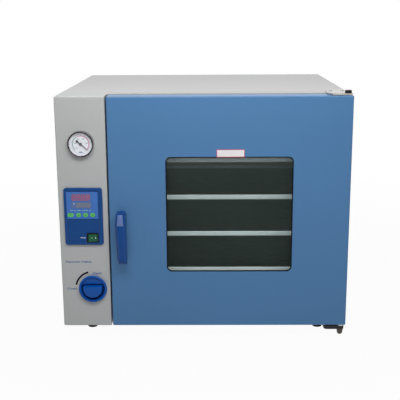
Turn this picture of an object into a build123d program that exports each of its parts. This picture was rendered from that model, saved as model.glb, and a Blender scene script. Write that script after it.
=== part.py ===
from build123d import *
import math
import os

# Bench-top vacuum drying oven, in millimetres.
# X runs to the viewer's right, the front faces -Y and Z is up.
# The origin lies on the floor under the middle of the body.

# ---- Body ----
BODY_WIDTH = 650.0
BODY_DEPTH = 578.0  # front face of the door to the rear panel
BODY_HEIGHT = 529.0  # without the feet
FOOT_HEIGHT = 28.0
SHEET = 1.5  # painted steel sheet
BEND = 3.0  # outer radius of a folded edge
FRAME_DEPTH = 36.0  # strip of frame seen behind the door
SEAM = 0.3  # open line between the frame and the cover
TUCK = 12.0  # lap of the cover and the base inside the frame
RETURN = 14.0  # forward flange of the rear panel
BASE_FLANGE = 25.0
REAR_SCREW_SIDE_INSET = 24.0
REAR_SCREW_END_INSET = 40.0
LOUVRE_RISE = 400.0  # middle of the vent slots
LOUVRE_PITCH = 12.0
LOUVRE_ROWS = 10
LOUVRE_WIDTH = 56.0
LOUVRE_HEIGHT = 4.0

# ---- Fascia column ----
FASCIA_WIDTH = 110.0
DOOR_GAP = 3.0  # between the fascia and the door

# ---- Door ----
DOOR_THICKNESS = 50.0
DOOR_BACK_GAP = 3.0  # between the door's back and the frame
DOOR_TOP_GAP = 1.0
WINDOW_WIDTH = 283.0
WINDOW_HEIGHT = 265.0
WINDOW_RADIUS = 12.0
WINDOW_RISE = 263.0  # window's middle above the body's lower edge
OUTER_PANE = 5.0
INNER_PANE = 12.0
GASKET_LIP = 2.5  # rubber seen inside the cut-out
GASKET_FRONT = 2.0
GASKET_WIDTH = 12.0
TUNNEL_RELIEF = 13.5  # tunnel walls stand this far outside the cut-out
TUNNEL_LIP_RELIEF = 3.5
PANE_LAP = 10.5  # inner pane behind the inner pan, beyond its opening
PAN_FLANGE = 12.0
PANE_CORNER = 8.0
CLIP_WIDTH = 24.0
CLIP_SHEET = 1.5
CLIP_SPREAD = 120.0  # from the middle of each side
CLIP_FOOT = 14.0
CLIP_REACH = 10.0  # over the pane

# ---- Chamber ----
CHAMBER_SIDE = 61.0  # from the door's side edges
CHAMBER_HEIGHT = 345.0
CHAMBER_WALL = 4.0
CHAMBER_RADIUS = 15.0
MOUTH_DEPTH = 9.5  # chamber flange behind the face of the frame
FLANGE_THICKNESS = 5.0
FLANGE_LAP = 15.0
SEAL_WIDTH = 15.0
SEAL_INSET = 3.0
SEAL_GAP = 0.2  # between the seal's lip and the inner pane
HEATER = 3.0
HEATER_FRONT = 60.0  # from the chamber's mouth
HEATER_BACK = 40.0  # from the chamber's back wall
HEATER_INSET = 30.0
INSULATION_BACK = 60.0
PROBE_RADIUS = 2.5
PROBE_INSET = 30.0  # from the chamber's left wall and its ceiling
PROBE_REACH = 12.0
PROBE_NUT = 4.0
PROBE_TAIL = 40.0

# ---- Shelves ----
SHELF_COUNT = 4
SHELF_PITCH = 89.0
LOWEST_SHELF = 19.0  # top of the lowest shelf above the chamber floor
SHELF_SETBACK = 37.5  # front lip behind the chamber's mouth
SHELF_DEPTH = 320.0
SHELF_BACK_GAP = 12.5  # behind the shelf, to the chamber's back wall
SHELF_SHEET = 2.0
SHELF_LIP = 12.7
SHELF_HEM = 10.0
SHELF_UPSTAND = 10.0
SHELF_BEND = 3.0
SHELF_SIDE_GAP = 3.0
SHELF_PLAY = 0.1
LEDGE = 13.0
RACK_END = 20.0  # rack above the top shelf

# ---- Handle and latch ----
HANDLE_INSET = 29.0  # spindle from the door's free edge
HANDLE_RISE = 264.5
HANDLE_REACH = 41.0  # front of the grip from the door
HANDLE_DROP = 109.5  # spindle to the lower tip
HANDLE_CROWN = 12.5  # spindle to the upper end
HANDLE_WIDTH = 21.0
SLOPE_DROP = 16.0  # spindle to the lower end of the sloping face
GRIP_THICKNESS = 17.0
LEVER_GAP = 0.3
SPINDLE_RADIUS = 6.0
SPINDLE_IN_LEVER = 14.0
SPINDLE_END = 4.0  # behind the tongue
BEARING_WALL = 2.0
BEARING_LENGTH = 12.0
TONGUE_LENGTH = 42.0
TONGUE_WIDTH = 14.0
TONGUE_THICKNESS = 6.0
TONGUE_DEPTH = 22.0  # tongue behind the door's face
ROSE_RADIUS = 13.0
ROSE_THICKNESS = 3.7
STRIKE_THICKNESS = 2.0
STRIKE_MARGIN = 8.0
SLOT_CLEARANCE = 3.0

# ---- Hinges ----
HINGE_SIDE_INSET = 11.0
HINGE_FRONT_INSET = 13.0
PIN_RADIUS = 5.0
BUSH_RADIUS = 8.0
BUSH_LENGTH = 20.0
BUSH_FLANGE = 2.0
PIN_IN_BUSH = 18.0
UPPER_PLATE = 3.5
UPPER_PLATE_WIDTH = 52.0
UPPER_PLATE_DEPTH = 68.0
UPPER_PLATE_INSET = 1.4  # from the body's right side
PLATE_SCREW_INSETS = (32.0, 6.0)  # from the pivot
PLATE_SCREW_SETBACK = 10.0  # behind the face of the frame
HINGE_PLATE_FRONT = 4.0
LOWER_PLATE = 8.0
LOWER_PLATE_WIDTH = 46.6
LOWER_PLATE_DEPTH = 92.0
LOWER_PLATE_INSET = 2.4
LOWER_TAIL_WIDTH = 32.0  # clears the front foot
LOWER_SHOULDER_GAP = 2.0
THRUST_WASHER = 3.0
BOLT_HEAD_RADIUS = 7.5
UPPER_HEAD = 6.5
LOWER_HEAD = 14.5

# ---- Gauge ----
GAUGE_INSET = 56.0
GAUGE_RISE = 425.5
GAUGE_RADIUS = 30.0
GAUGE_PROUD = 12.0
GAUGE_CASE_RADIUS = 28.0
GAUGE_CASE_DEPTH = 30.0
GAUGE_STEM_RADIUS = 8.0
GAUGE_STEM = 20.0
GAUGE_GLASS = 1.5
GAUGE_WALL = 1.5
GAUGE_POST_RADIUS = 10.0
DIAL_DEPTH = 3.5  # dial's back in front of the fascia
NEEDLE_LENGTH = 18.5
NEEDLE_TAIL = 7.0
NEEDLE_TAIL_RADIUS = 1.9
NEEDLE_ROOT = 1.6
NEEDLE_POINT = 0.6
NEEDLE_SHEET = 0.8
NEEDLE_HUB_RADIUS = 2.6
NEEDLE_HUB = 2.4
NEEDLE_PIN = 1.0
NEEDLE_ANGLE = -41.0  # where the needle rests, from +X towards +Z

# ---- Controller ----
CONTROL_INSET = 55.8
CONTROL_RISE = 261.5
CONTROL_WIDTH = 86.0
CONTROL_HEIGHT = 131.0
CONTROL_PROUD = 6.0
CONTROL_RADIUS = 6.0
CONTROL_RECESS = 2.0
CONTROL_RIM = 5.5
CONTROL_WIDE_RIM = 8.0  # on the side towards the door
CONTROL_DEPTH = 70.0
DISPLAY_WIDTH = 70.0
DISPLAY_HEIGHT = 61.5
DISPLAY_THICKNESS = 0.8
KEY_ROW_RISE = 265.5
KEY_INSETS = (27.2, 45.3, 60.5, 76.4)  # from the body's left side
KEY_WIDTHS = (14.0, 11.0, 11.0, 11.0)
KEY_HEIGHT = 9.0
KEY_PROUD = 1.1
KEY_TRAVEL = 0.8
KEY_CLEARANCE = 0.25
SWITCH_INSET = 74.7
SWITCH_RISE = 212.6
SWITCH_WIDTH = 26.3
SWITCH_HEIGHT = 22.0
ROCKER_WIDTH = 20.2
ROCKER_HEIGHT = 16.5
ROCKER_TILT = 8.0  # degrees either way
SWITCH_DEPTH = 16.0
PIVOT_RADIUS = 1.2
PIVOT_PIN = 0.9

# ---- Valve ----
VALVE_INSET = 71.0
VALVE_RISE = 91.5
KNOB_RADIUS = 32.5
KNOB_BASE = 9.0
KNOB_PROUD = 22.0
KNOB_GAP = 0.5
KNOB_RIM = 5.0
KNOB_DISH = 4.0
GRIP_HALF_HEIGHT = 12.0
GRIP_HALF_WIDTH = 20.5
GRIP_DRAFT = 5.0  # degrees
STEM_RADIUS = 5.0
STEM_IN_KNOB = 12.0
STEM_IN_VALVE = 20.0
VALVE_BODY_RADIUS = 18.0
VALVE_BODY_DEPTH = 52.0
VALVE_PORT_LENGTH = 12.0
VALVE_OUTLET = 8.0
FITTING_WALL = 4.0

# ---- Vacuum lines ----
TUBE_RADIUS = 5.0
TUBE_WALL = 1.0
TUBE_BEND = 14.0
GAUGE_PORT_DEPTH = 120.0
GAUGE_PORT_DROP = 40.0
INLET_PORT_DEPTH = 150.0
INLET_PORT_RISE = 58.0
OUTLET_DEPTH = 35.0
OUTLET_RISE = 90.0
PORT_CLEARANCE = 1.0
NOZZLE_LENGTH = 36.0
NOZZLE_INSET = 71.0
NOZZLE_COLLAR = 8.0
OUTER_COLLAR = 6.0
GLAND_RISE = 60.0
GLAND_BORE = 4.5
GLAND_LENGTH = 32.0
GLAND_PROUD = 20.0
GLAND_NECK = 4.5
GLAND_NUT = 8.0
GLAND_CAP = 6.0

# ---- Feet ----
FOOT_SIDE_INSET = 56.0
FOOT_FRONT_INSET = 69.0
FOOT_BACK_INSET = 60.0
FOOT_TOP_RADIUS = 15.0
FOOT_BOTTOM_RADIUS = 11.0
FOOT_RIM = 4.0
FOOT_HEAD_DEPTH = 8.0  # screw head above the floor
FOOT_HEAD_RADIUS = 6.0
FOOT_HEAD = 4.0
SCREW_RADIUS = 2.5
SCREW_HEAD_RADIUS = 5.0

FIT = 0.05  # radial clearance of a running fit
SLIP = 0.2  # clearance of pieces that drop into one another

# ---- Places worked out from the sizes above ----
LEFT = -BODY_WIDTH / 2
RIGHT = BODY_WIDTH / 2
FRONT = -BODY_DEPTH / 2
BACK = BODY_DEPTH / 2
BOTTOM = FOOT_HEIGHT
TOP = BOTTOM + BODY_HEIGHT
MIDDLE_Z = (BOTTOM + TOP) / 2

FASCIA_RIGHT = LEFT + FASCIA_WIDTH
DOOR_LEFT = FASCIA_RIGHT + DOOR_GAP
DOOR_WIDTH = RIGHT - DOOR_LEFT
DOOR_X = (DOOR_LEFT + RIGHT) / 2
DOOR_TOP = TOP - DOOR_TOP_GAP
DOOR_HEIGHT = DOOR_TOP - BOTTOM
DOOR_Z = (BOTTOM + DOOR_TOP) / 2
DOOR_BACK = FRONT + DOOR_THICKNESS
CHAMBER_WIDTH = DOOR_WIDTH - 2 * CHAMBER_SIDE
CHAMBER_DEPTH = SHELF_SETBACK + SHELF_DEPTH + SHELF_BACK_GAP
FRAME_FACE = DOOR_BACK + DOOR_BACK_GAP
FRAME_BACK = FRAME_FACE + FRAME_DEPTH
COVER_FRONT = FRAME_BACK + SEAM
REAR_FOLD = BACK - RETURN
WINDOW_Z = BOTTOM + WINDOW_RISE
PANE_BACK = DOOR_BACK - SHEET
PANE_FRONT = PANE_BACK - INNER_PANE
MOUTH = FRAME_FACE + MOUTH_DEPTH
CHAMBER_BACK = MOUTH + CHAMBER_DEPTH
CHAMBER_FLOOR = WINDOW_Z - CHAMBER_HEIGHT / 2
CHAMBER_LEFT = DOOR_X - CHAMBER_WIDTH / 2
CHAMBER_RIGHT = DOOR_X + CHAMBER_WIDTH / 2
SEAL_GROWTH = 2 * (SEAL_INSET + SEAL_WIDTH)
SEAL_RADIUS = CHAMBER_RADIUS + SEAL_INSET + SEAL_WIDTH
FRAME_RELIEF = 2.0  # round the seal in the frame
PAN_RELIEF = 4.0  # round the seal in the door's inner pan
SHELF_FRONT = MOUTH + SHELF_SETBACK
SHELF_TOPS = [CHAMBER_FLOOR + LOWEST_SHELF + i * SHELF_PITCH for i in range(SHELF_COUNT)]
SHELF_WIDTH = CHAMBER_WIDTH - 2 * (SHEET + SHELF_SIDE_GAP)
HANDLE_X = DOOR_LEFT + HANDLE_INSET
HANDLE_Z = BOTTOM + HANDLE_RISE
HINGE_X = RIGHT - HINGE_SIDE_INSET
HINGE_Y = FRONT + HINGE_FRONT_INSET
GAUGE_X = LEFT + GAUGE_INSET
GAUGE_Z = BOTTOM + GAUGE_RISE
CONTROL_X = LEFT + CONTROL_INSET
CONTROL_Z = BOTTOM + CONTROL_RISE
CONTROL_FACE = FRONT - CONTROL_PROUD
CONTROL_FLOOR = CONTROL_FACE + CONTROL_RECESS
SWITCH_X = LEFT + SWITCH_INSET
SWITCH_Z = BOTTOM + SWITCH_RISE
VALVE_X = LEFT + VALVE_INSET
VALVE_Z = BOTTOM + VALVE_RISE
NOZZLE_X = LEFT + NOZZLE_INSET
NOZZLE_Z = VALVE_Z + OUTLET_RISE
GLAND_Z = BOTTOM + GLAND_RISE


def facing(y):
    """Plane at depth y seen from the front: X to the right, Z up, extruding towards the viewer."""
    return Plane(origin=(0, y, 0), x_dir=(1, 0, 0), z_dir=(0, -1, 0))


def across(x):
    """Plane at x for side profiles: Y to the right, Z up, extruding towards +X."""
    return Plane(origin=(x, 0, 0), x_dir=(0, 1, 0), z_dir=(1, 0, 0))


def slab(outline, centre, front, back, mode=Mode.ADD):
    """Prism between two depths: outline is (width, height) or (width, height, corner radius)."""
    with BuildSketch(facing(back)) as face:
        with Locations(centre):
            if len(outline) == 3:
                RectangleRounded(*outline)
            else:
                Rectangle(*outline)
    extrude(face.sketch, amount=back - front, mode=mode)


def opening(outline, centre, front, back):
    """The same prism, cut away."""
    slab(outline, centre, front, back, Mode.SUBTRACT)


def turned(points, x, z):
    """Lathe work about the front-to-back axis through (x, z): points are (y, radius)."""
    with BuildSketch(Plane(origin=(x, 0, z), x_dir=(0, 1, 0), z_dir=(1, 0, 0))) as section:
        with BuildLine():
            Polyline(*points, close=True)
        make_face()
    revolve(section.sketch, axis=Axis((x, 0, z), (0, 1, 0)))


def turned_upright(points, x, y):
    """Lathe work about the upright axis through (x, y): points are (radius, z)."""
    with BuildSketch(Plane(origin=(x, y, 0), x_dir=(1, 0, 0), z_dir=(0, -1, 0))) as section:
        with BuildLine():
            Polyline(*points, close=True)
        make_face()
    revolve(section.sketch, axis=Axis((x, y, 0), (0, 0, 1)))


def folded(points, radius, thickness):
    """Section of a folded sheet whose middle follows the points."""
    with BuildLine() as middle:
        FilletPolyline(*points, radius=radius)
    trace(middle.line, line_width=thickness)


def bore_y(radius, x, z, front, back):
    """Round hole that runs front to back."""
    with BuildSketch(facing(back)) as hole:
        with Locations((x, z)):
            Circle(radius)
    extrude(hole.sketch, amount=back - front, mode=Mode.SUBTRACT)


# ---- Cabinet ----

# Top and sides are one sheet; its front lap tucks inside the frame and the fascia.
with BuildPart() as cabinet_cover:
    with BuildSketch(facing(COVER_FRONT + TUCK)):
        lap_x = RIGHT - 1.5 * SHEET
        lap_top = TOP - 1.5 * SHEET
        lap_foot = BOTTOM + BASE_FLANGE + 2 * SHEET
        folded(
            [(-lap_x, lap_foot), (-lap_x, lap_top), (lap_x, lap_top), (lap_x, lap_foot)],
            BEND - 1.5 * SHEET,
            SHEET,
        )
    extrude(amount=2 * TUCK)
    opening(
        (2 * SHEET + 1, 4 * SHEET),
        (FASCIA_RIGHT, TOP - 2 * SHEET),
        COVER_FRONT - TUCK,
        COVER_FRONT + TUCK,
    )
    with BuildSketch(facing(BACK)):
        skin_x = RIGHT - SHEET / 2
        skin_top = TOP - SHEET / 2
        folded(
            [(-skin_x, BOTTOM), (-skin_x, skin_top), (skin_x, skin_top), (skin_x, BOTTOM)],
            BEND - SHEET / 2,
            SHEET,
        )
    extrude(amount=BACK - COVER_FRONT)

FEET = [
    (side * (RIGHT - FOOT_SIDE_INSET), y)
    for side in (-1, 1)
    for y in (FRONT + FOOT_FRONT_INSET, BACK - FOOT_BACK_INSET)
]

# Floor sheet with upturned sides and a front lap over the frame's lower flange.
with BuildPart() as base_pan:
    with BuildSketch(facing(COVER_FRONT + TUCK)):
        with Locations((0, BOTTOM + 1.5 * SHEET)):
            Rectangle(BODY_WIDTH - 4 * SHEET, SHEET)
    extrude(amount=2 * TUCK)
    opening(
        (2 * SHEET + 1, 2 * SHEET),
        (FASCIA_RIGHT, BOTTOM + 2 * SHEET),
        COVER_FRONT - TUCK,
        COVER_FRONT + TUCK,
    )
    with BuildSketch(facing(REAR_FOLD)):
        wall_x = RIGHT - 1.5 * SHEET
        floor_z = BOTTOM + SHEET / 2
        wall_z = BOTTOM + BASE_FLANGE
        folded(
            [(-wall_x, wall_z), (-wall_x, floor_z), (wall_x, floor_z), (wall_x, wall_z)],
            BEND - SHEET / 2,
            SHEET,
        )
    extrude(amount=REAR_FOLD - COVER_FRONT)
    for foot_x, foot_y in FEET:
        with Locations((foot_x, foot_y, BOTTOM)):
            Cylinder(SCREW_RADIUS, 6 * SHEET, mode=Mode.SUBTRACT)

# Rear sheet with forward flanges, vent slots behind the controls, and the two outlets.
with BuildPart() as rear_panel:
    slab((BODY_WIDTH - 2 * SHEET, BODY_HEIGHT - SHEET), (0, MIDDLE_Z - SHEET / 2), REAR_FOLD, BACK)
    offset(amount=-SHEET, openings=rear_panel.faces().sort_by(Axis.Y)[0])
    panel_corners = rear_panel.edges().filter_by(Axis.Y).group_by(SortBy.LENGTH)[-1]
    fillet(panel_corners.group_by(Axis.Z)[-1], BEND - SHEET)
    with BuildSketch(facing(BACK)):
        with Locations((LEFT + FASCIA_WIDTH / 2, BOTTOM + LOUVRE_RISE)):
            with GridLocations(0, LOUVRE_PITCH, 1, LOUVRE_ROWS):
                SlotOverall(LOUVRE_WIDTH, LOUVRE_HEIGHT)
    extrude(amount=2 * SHEET, mode=Mode.SUBTRACT)
    bore_y(TUBE_RADIUS + 2 * FIT, NOZZLE_X, NOZZLE_Z, REAR_FOLD, BACK)
    bore_y(GLAND_BORE + GLAND_NECK + 2 * FIT, NOZZLE_X, GLAND_Z, REAR_FOLD, BACK)

frame_width = RIGHT - FASCIA_RIGHT
frame_x = (RIGHT + FASCIA_RIGHT) / 2
FRAME_OPENING = (
    CHAMBER_WIDTH + SEAL_GROWTH + 2 * FRAME_RELIEF,
    CHAMBER_HEIGHT + SEAL_GROWTH + 2 * FRAME_RELIEF,
    SEAL_RADIUS + FRAME_RELIEF,
)
FRAME_COLLAR = tuple(size + 2 * SHEET for size in FRAME_OPENING[:2]) + (FRAME_OPENING[2] + SHEET,)

# Frame behind the door: a sheet pan with a collar that the chamber's flange seats on.
with BuildPart() as front_frame:
    slab((frame_width, BODY_HEIGHT), (frame_x, MIDDLE_Z), FRAME_FACE, FRAME_BACK)
    right_corners = front_frame.edges().filter_by(Axis.Y).group_by(Axis.X)[-1]
    fillet(right_corners, BEND)
    offset(amount=-SHEET, openings=front_frame.faces().sort_by(Axis.Y)[-1])
    slab(FRAME_COLLAR, (DOOR_X, WINDOW_Z), FRAME_FACE, MOUTH)
    opening(FRAME_OPENING, (DOOR_X, WINDOW_Z), FRAME_FACE, MOUTH)
    with Locations((RIGHT - FOOT_SIDE_INSET, FEET[0][1], BOTTOM)):
        Cylinder(SCREW_RADIUS, 6 * SHEET, mode=Mode.SUBTRACT)

TONGUE_SWEEP = math.sqrt(TONGUE_LENGTH**2 - (HANDLE_INSET - SHEET) ** 2)
slot_low = HANDLE_Z - TONGUE_WIDTH / 2 - SLOT_CLEARANCE
slot_high = HANDLE_Z + TONGUE_SWEEP + TONGUE_WIDTH / 2 + SLOT_CLEARANCE
slot_front = FRONT + TONGUE_DEPTH - SLOT_CLEARANCE
slot_back = FRONT + TONGUE_DEPTH + TONGUE_THICKNESS + SLOT_CLEARANCE
CONTROL_CUTOUT = (CONTROL_WIDTH - 10, CONTROL_HEIGHT - 10)


def latch_slot(x, width):
    """Slot that the latch tongue swings through, cut across a wall that faces +X."""
    opening(
        (width, slot_high - slot_low),
        (x, (slot_low + slot_high) / 2),
        slot_front,
        slot_back,
    )


# Column that carries the gauge, the controller and the valve.
with BuildPart() as fascia_panel:
    slab((FASCIA_WIDTH, BODY_HEIGHT), (LEFT + FASCIA_WIDTH / 2, MIDDLE_Z), FRONT, FRAME_BACK)
    left_corners = fascia_panel.edges().filter_by(Axis.Y).group_by(Axis.X)[0]
    fillet(left_corners, BEND)
    fillet(fascia_panel.faces().sort_by(Axis.Y)[0].edges(), BEND)
    offset(amount=-SHEET, openings=fascia_panel.faces().sort_by(Axis.Y)[-1])
    bore_y(GAUGE_CASE_RADIUS + SLIP, GAUGE_X, GAUGE_Z, FRONT, FRONT + SHEET)
    opening(CONTROL_CUTOUT, (CONTROL_X, CONTROL_Z), FRONT, FRONT + SHEET)
    bore_y(STEM_RADIUS + FITTING_WALL, VALVE_X, VALVE_Z, FRONT, FRONT + SHEET)
    latch_slot(FASCIA_RIGHT, 4 * SHEET)
    with Locations((LEFT + FOOT_SIDE_INSET, FEET[0][1], BOTTOM)):
        Cylinder(SCREW_RADIUS, 6 * SHEET, mode=Mode.SUBTRACT)

# Wear plate for the latch, on the inside of the fascia's right wall.
with BuildPart() as strike_plate:
    strike_x = FASCIA_RIGHT - SHEET - STRIKE_THICKNESS / 2
    slab(
        (STRIKE_THICKNESS, slot_high - slot_low + 2 * STRIKE_MARGIN),
        (strike_x, (slot_low + slot_high) / 2),
        slot_front - STRIKE_MARGIN,
        slot_back + STRIKE_MARGIN,
    )
    latch_slot(strike_x, 2 * STRIKE_THICKNESS)

inlet_z = VALVE_Z + INLET_PORT_RISE
inlet_y = FRONT + INLET_PORT_DEPTH
gauge_port_z = GAUGE_Z - GAUGE_PORT_DROP
gauge_port_y = FRONT + GAUGE_PORT_DEPTH


def port_holes(radius, low_x, high_x):
    """Cross holes for the gauge line and the valve line."""
    for port_y, port_z in ((gauge_port_y, gauge_port_z), (inlet_y, inlet_z)):
        with BuildSketch(across(low_x)) as hole:
            with Locations((port_y, port_z)):
                Circle(radius)
        extrude(hole.sketch, amount=high_x - low_x, mode=Mode.SUBTRACT)


# Wall between the control column and the insulated chamber.
with BuildPart() as partition_panel:
    slab(
        (SHEET, BODY_HEIGHT - 2 * SHEET),
        (FASCIA_RIGHT - SHEET / 2, MIDDLE_Z),
        COVER_FRONT,
        REAR_FOLD,
    )
    port_holes(TUBE_RADIUS + PORT_CLEARANCE, FASCIA_RIGHT - 2 * SHEET, FASCIA_RIGHT + SHEET)

# ---- Feet ----
with BuildPart() as feet:
    for foot_x, foot_y in FEET:
        turned_upright(
            [
                (SCREW_RADIUS + FIT, BOTTOM),
                (FOOT_TOP_RADIUS, BOTTOM),
                (FOOT_TOP_RADIUS, BOTTOM - FOOT_RIM),
                (FOOT_BOTTOM_RADIUS, 0),
                (FOOT_HEAD_RADIUS + SLIP, 0),
                (FOOT_HEAD_RADIUS + SLIP, FOOT_HEAD_DEPTH),
                (SCREW_RADIUS + FIT, FOOT_HEAD_DEPTH),
            ],
            foot_x,
            foot_y,
        )

rear_screws_x = RIGHT - REAR_SCREW_SIDE_INSET
rear_screws_z = (BOTTOM + REAR_SCREW_END_INSET, MIDDLE_Z, TOP - REAR_SCREW_END_INSET)

# Foot screws, rear panel screws and the hinge plates' screws.
with BuildPart() as screws:
    for foot_x, foot_y in FEET:
        turned_upright(
            [
                (0, BOTTOM + 2 * SHEET - SLIP),
                (SCREW_RADIUS - FIT, BOTTOM + 2 * SHEET - SLIP),
                (SCREW_RADIUS - FIT, FOOT_HEAD_DEPTH),
                (FOOT_HEAD_RADIUS, FOOT_HEAD_DEPTH),
                (FOOT_HEAD_RADIUS, FOOT_HEAD_DEPTH - FOOT_HEAD),
                (0, FOOT_HEAD_DEPTH - FOOT_HEAD),
            ],
            foot_x,
            foot_y,
        )
    for screw_x in (-rear_screws_x, rear_screws_x):
        for screw_z in rear_screws_z:
            turned(
                [
                    (BACK, 0),
                    (BACK, SCREW_HEAD_RADIUS),
                    (BACK + 1.6, 0.88 * SCREW_HEAD_RADIUS),
                    (BACK + 2.8, 0.48 * SCREW_HEAD_RADIUS),
                    (BACK + 2.8, 0),
                ],
                screw_x,
                screw_z,
            )
    for inset in PLATE_SCREW_INSETS:
        plate_top = TOP + UPPER_PLATE
        turned_upright(
            [
                (0, plate_top),
                (0.9 * SCREW_HEAD_RADIUS, plate_top),
                (0.72 * SCREW_HEAD_RADIUS, plate_top + 1.6),
                (0, plate_top + 2.0),
            ],
            HINGE_X - inset,
            FRAME_FACE + PLATE_SCREW_SETBACK,
        )

# ---- Chamber ----
chamber_centre = (DOOR_X, WINDOW_Z)
chamber_outer = (
    CHAMBER_WIDTH + 2 * CHAMBER_WALL,
    CHAMBER_HEIGHT + 2 * CHAMBER_WALL,
    CHAMBER_RADIUS + CHAMBER_WALL,
)
flange_outline = (
    FRAME_OPENING[0] + 2 * FLANGE_LAP,
    FRAME_OPENING[1] + 2 * FLANGE_LAP,
    FRAME_OPENING[2] + FLANGE_LAP,
)
PROBE_X = CHAMBER_LEFT + PROBE_INSET
PROBE_Z = CHAMBER_FLOOR + CHAMBER_HEIGHT - PROBE_INSET

# Welded stainless box with a flange round its mouth.
with BuildPart() as chamber_liner:
    slab(chamber_outer, chamber_centre, MOUTH, CHAMBER_BACK + CHAMBER_WALL)
    slab(flange_outline, chamber_centre, MOUTH, MOUTH + FLANGE_THICKNESS)
    opening((CHAMBER_WIDTH, CHAMBER_HEIGHT, CHAMBER_RADIUS), chamber_centre, MOUTH, CHAMBER_BACK)
    port_holes(TUBE_RADIUS + FIT, CHAMBER_LEFT - 2 * CHAMBER_WALL, CHAMBER_LEFT + CHAMBER_WALL)
    bore_y(PROBE_RADIUS + FIT, PROBE_X, PROBE_Z, CHAMBER_BACK, CHAMBER_BACK + CHAMBER_WALL)

seal_inner = (
    CHAMBER_WIDTH + 2 * SEAL_INSET,
    CHAMBER_HEIGHT + 2 * SEAL_INSET,
    CHAMBER_RADIUS + SEAL_INSET,
)
seal_outer = (CHAMBER_WIDTH + SEAL_GROWTH, CHAMBER_HEIGHT + SEAL_GROWTH, SEAL_RADIUS)

# Silicone ring on the chamber's flange.
with BuildPart() as door_seal:
    slab(seal_outer, chamber_centre, PANE_BACK + SEAL_GAP, MOUTH)
    opening(seal_inner, chamber_centre, PANE_BACK + SEAL_GAP, MOUTH)
    seal_lips = door_seal.faces().sort_by(Axis.Y)[0].edges()
    fillet(seal_lips, 0.3 * SEAL_WIDTH)

# Flat heaters bonded to the chamber's outside.
with BuildPart() as heater_pads:
    pad_front = MOUTH + HEATER_FRONT
    pad_back = CHAMBER_BACK - HEATER_BACK
    pad_inset = CHAMBER_RADIUS + HEATER_INSET
    for side in (-1, 1):
        slab(
            (HEATER, CHAMBER_HEIGHT - 3 * pad_inset),
            (DOOR_X + side * (chamber_outer[0] + HEATER) / 2, WINDOW_Z),
            pad_front,
            pad_back,
        )
        slab(
            (CHAMBER_WIDTH - 2 * pad_inset, HEATER),
            (DOOR_X, WINDOW_Z + side * (chamber_outer[1] + HEATER) / 2),
            pad_front,
            pad_back,
        )

# Fibre block round the chamber, with a pocket that clears the heaters.
with BuildPart() as insulation:
    wall_room = 2.5 * SHEET
    insulation_left = FASCIA_RIGHT + wall_room
    insulation_right = RIGHT - wall_room
    insulation_low = BOTTOM + 2 * SHEET
    insulation_high = TOP - wall_room
    pocket_growth = 2 * (HEATER + SLIP)
    insulation_front = MOUTH + FLANGE_THICKNESS + SLIP
    insulation_back = CHAMBER_BACK + CHAMBER_WALL + INSULATION_BACK
    slab(
        (insulation_right - insulation_left, insulation_high - insulation_low),
        ((insulation_left + insulation_right) / 2, (insulation_low + insulation_high) / 2),
        insulation_front,
        insulation_back,
    )
    opening(
        (chamber_outer[0] + pocket_growth, chamber_outer[1] + pocket_growth),
        chamber_centre,
        insulation_front,
        CHAMBER_BACK + CHAMBER_WALL + SLIP,
    )
    port_holes(TUBE_RADIUS + PORT_CLEARANCE, insulation_left - 1, CHAMBER_LEFT)
    bore_y(PROBE_RADIUS + PROBE_NUT + 0.5, PROBE_X, PROBE_Z, CHAMBER_BACK, insulation_back)

# Sheathed sensor through the chamber's back wall.
with BuildPart() as temperature_probe:
    wall_back = CHAMBER_BACK + CHAMBER_WALL
    turned(
        [
            (CHAMBER_BACK - PROBE_REACH, 0),
            (CHAMBER_BACK - PROBE_REACH, PROBE_RADIUS),
            (wall_back, PROBE_RADIUS),
            (wall_back, PROBE_RADIUS + PROBE_NUT),
            (wall_back + 3 * PROBE_NUT, PROBE_RADIUS + PROBE_NUT),
            (wall_back + 3 * PROBE_NUT, PROBE_RADIUS),
            (wall_back + PROBE_TAIL, PROBE_RADIUS),
            (wall_back + PROBE_TAIL, 0),
        ],
        PROBE_X,
        PROBE_Z,
    )

# ---- Shelves and their racks ----
RACK_FRONT = SHELF_FRONT + SHELF_SHEET + 2
RACK_TOP = SHELF_TOPS[-1] + RACK_END
RACK_BOTTOM = CHAMBER_FLOOR + CHAMBER_RADIUS
ledge_drop = SHELF_SHEET + SHELF_PLAY + SHEET / 2


def rack(wall_x, side):
    """Comb of ledges on one wall of the chamber; side is +1 where the ledges point to +X."""
    with BuildSketch(facing(CHAMBER_BACK)) as comb:
        with Locations((wall_x + side * SHEET / 2, (RACK_BOTTOM + RACK_TOP) / 2)):
            Rectangle(SHEET, RACK_TOP - RACK_BOTTOM)
        for shelf_top in SHELF_TOPS:
            with Locations((wall_x + side * LEDGE / 2, shelf_top - ledge_drop)):
                Rectangle(LEDGE, SHEET)
    extrude(comb.sketch, amount=CHAMBER_BACK - RACK_FRONT)


with BuildPart() as shelf_rack_left:
    rack(CHAMBER_LEFT, 1)

with BuildPart() as shelf_rack_right:
    rack(CHAMBER_RIGHT, -1)


def shelf(top):
    """Sheet shelf: a folded front lip with a hem, and an upstand along the back."""
    lip_y = SHELF_FRONT + SHELF_SHEET / 2
    plate_z = top - SHELF_SHEET / 2
    hem_z = top - SHELF_LIP + SHELF_SHEET / 2
    back_y = SHELF_FRONT + SHELF_DEPTH - SHELF_SHEET / 2
    with BuildSketch(across(DOOR_X - SHELF_WIDTH / 2)) as profile:
        folded(
            [
                (lip_y + SHELF_HEM, hem_z),
                (lip_y, hem_z),
                (lip_y, plate_z),
                (back_y, plate_z),
                (back_y, top + SHELF_UPSTAND),
            ],
            SHELF_BEND - SHELF_SHEET / 2,
            SHELF_SHEET,
        )
    extrude(profile.sketch, amount=SHELF_WIDTH)


shelves = []
for shelf_top in SHELF_TOPS:
    with BuildPart() as sheet_shelf:
        shelf(shelf_top)
    shelves.append(sheet_shelf)

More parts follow.
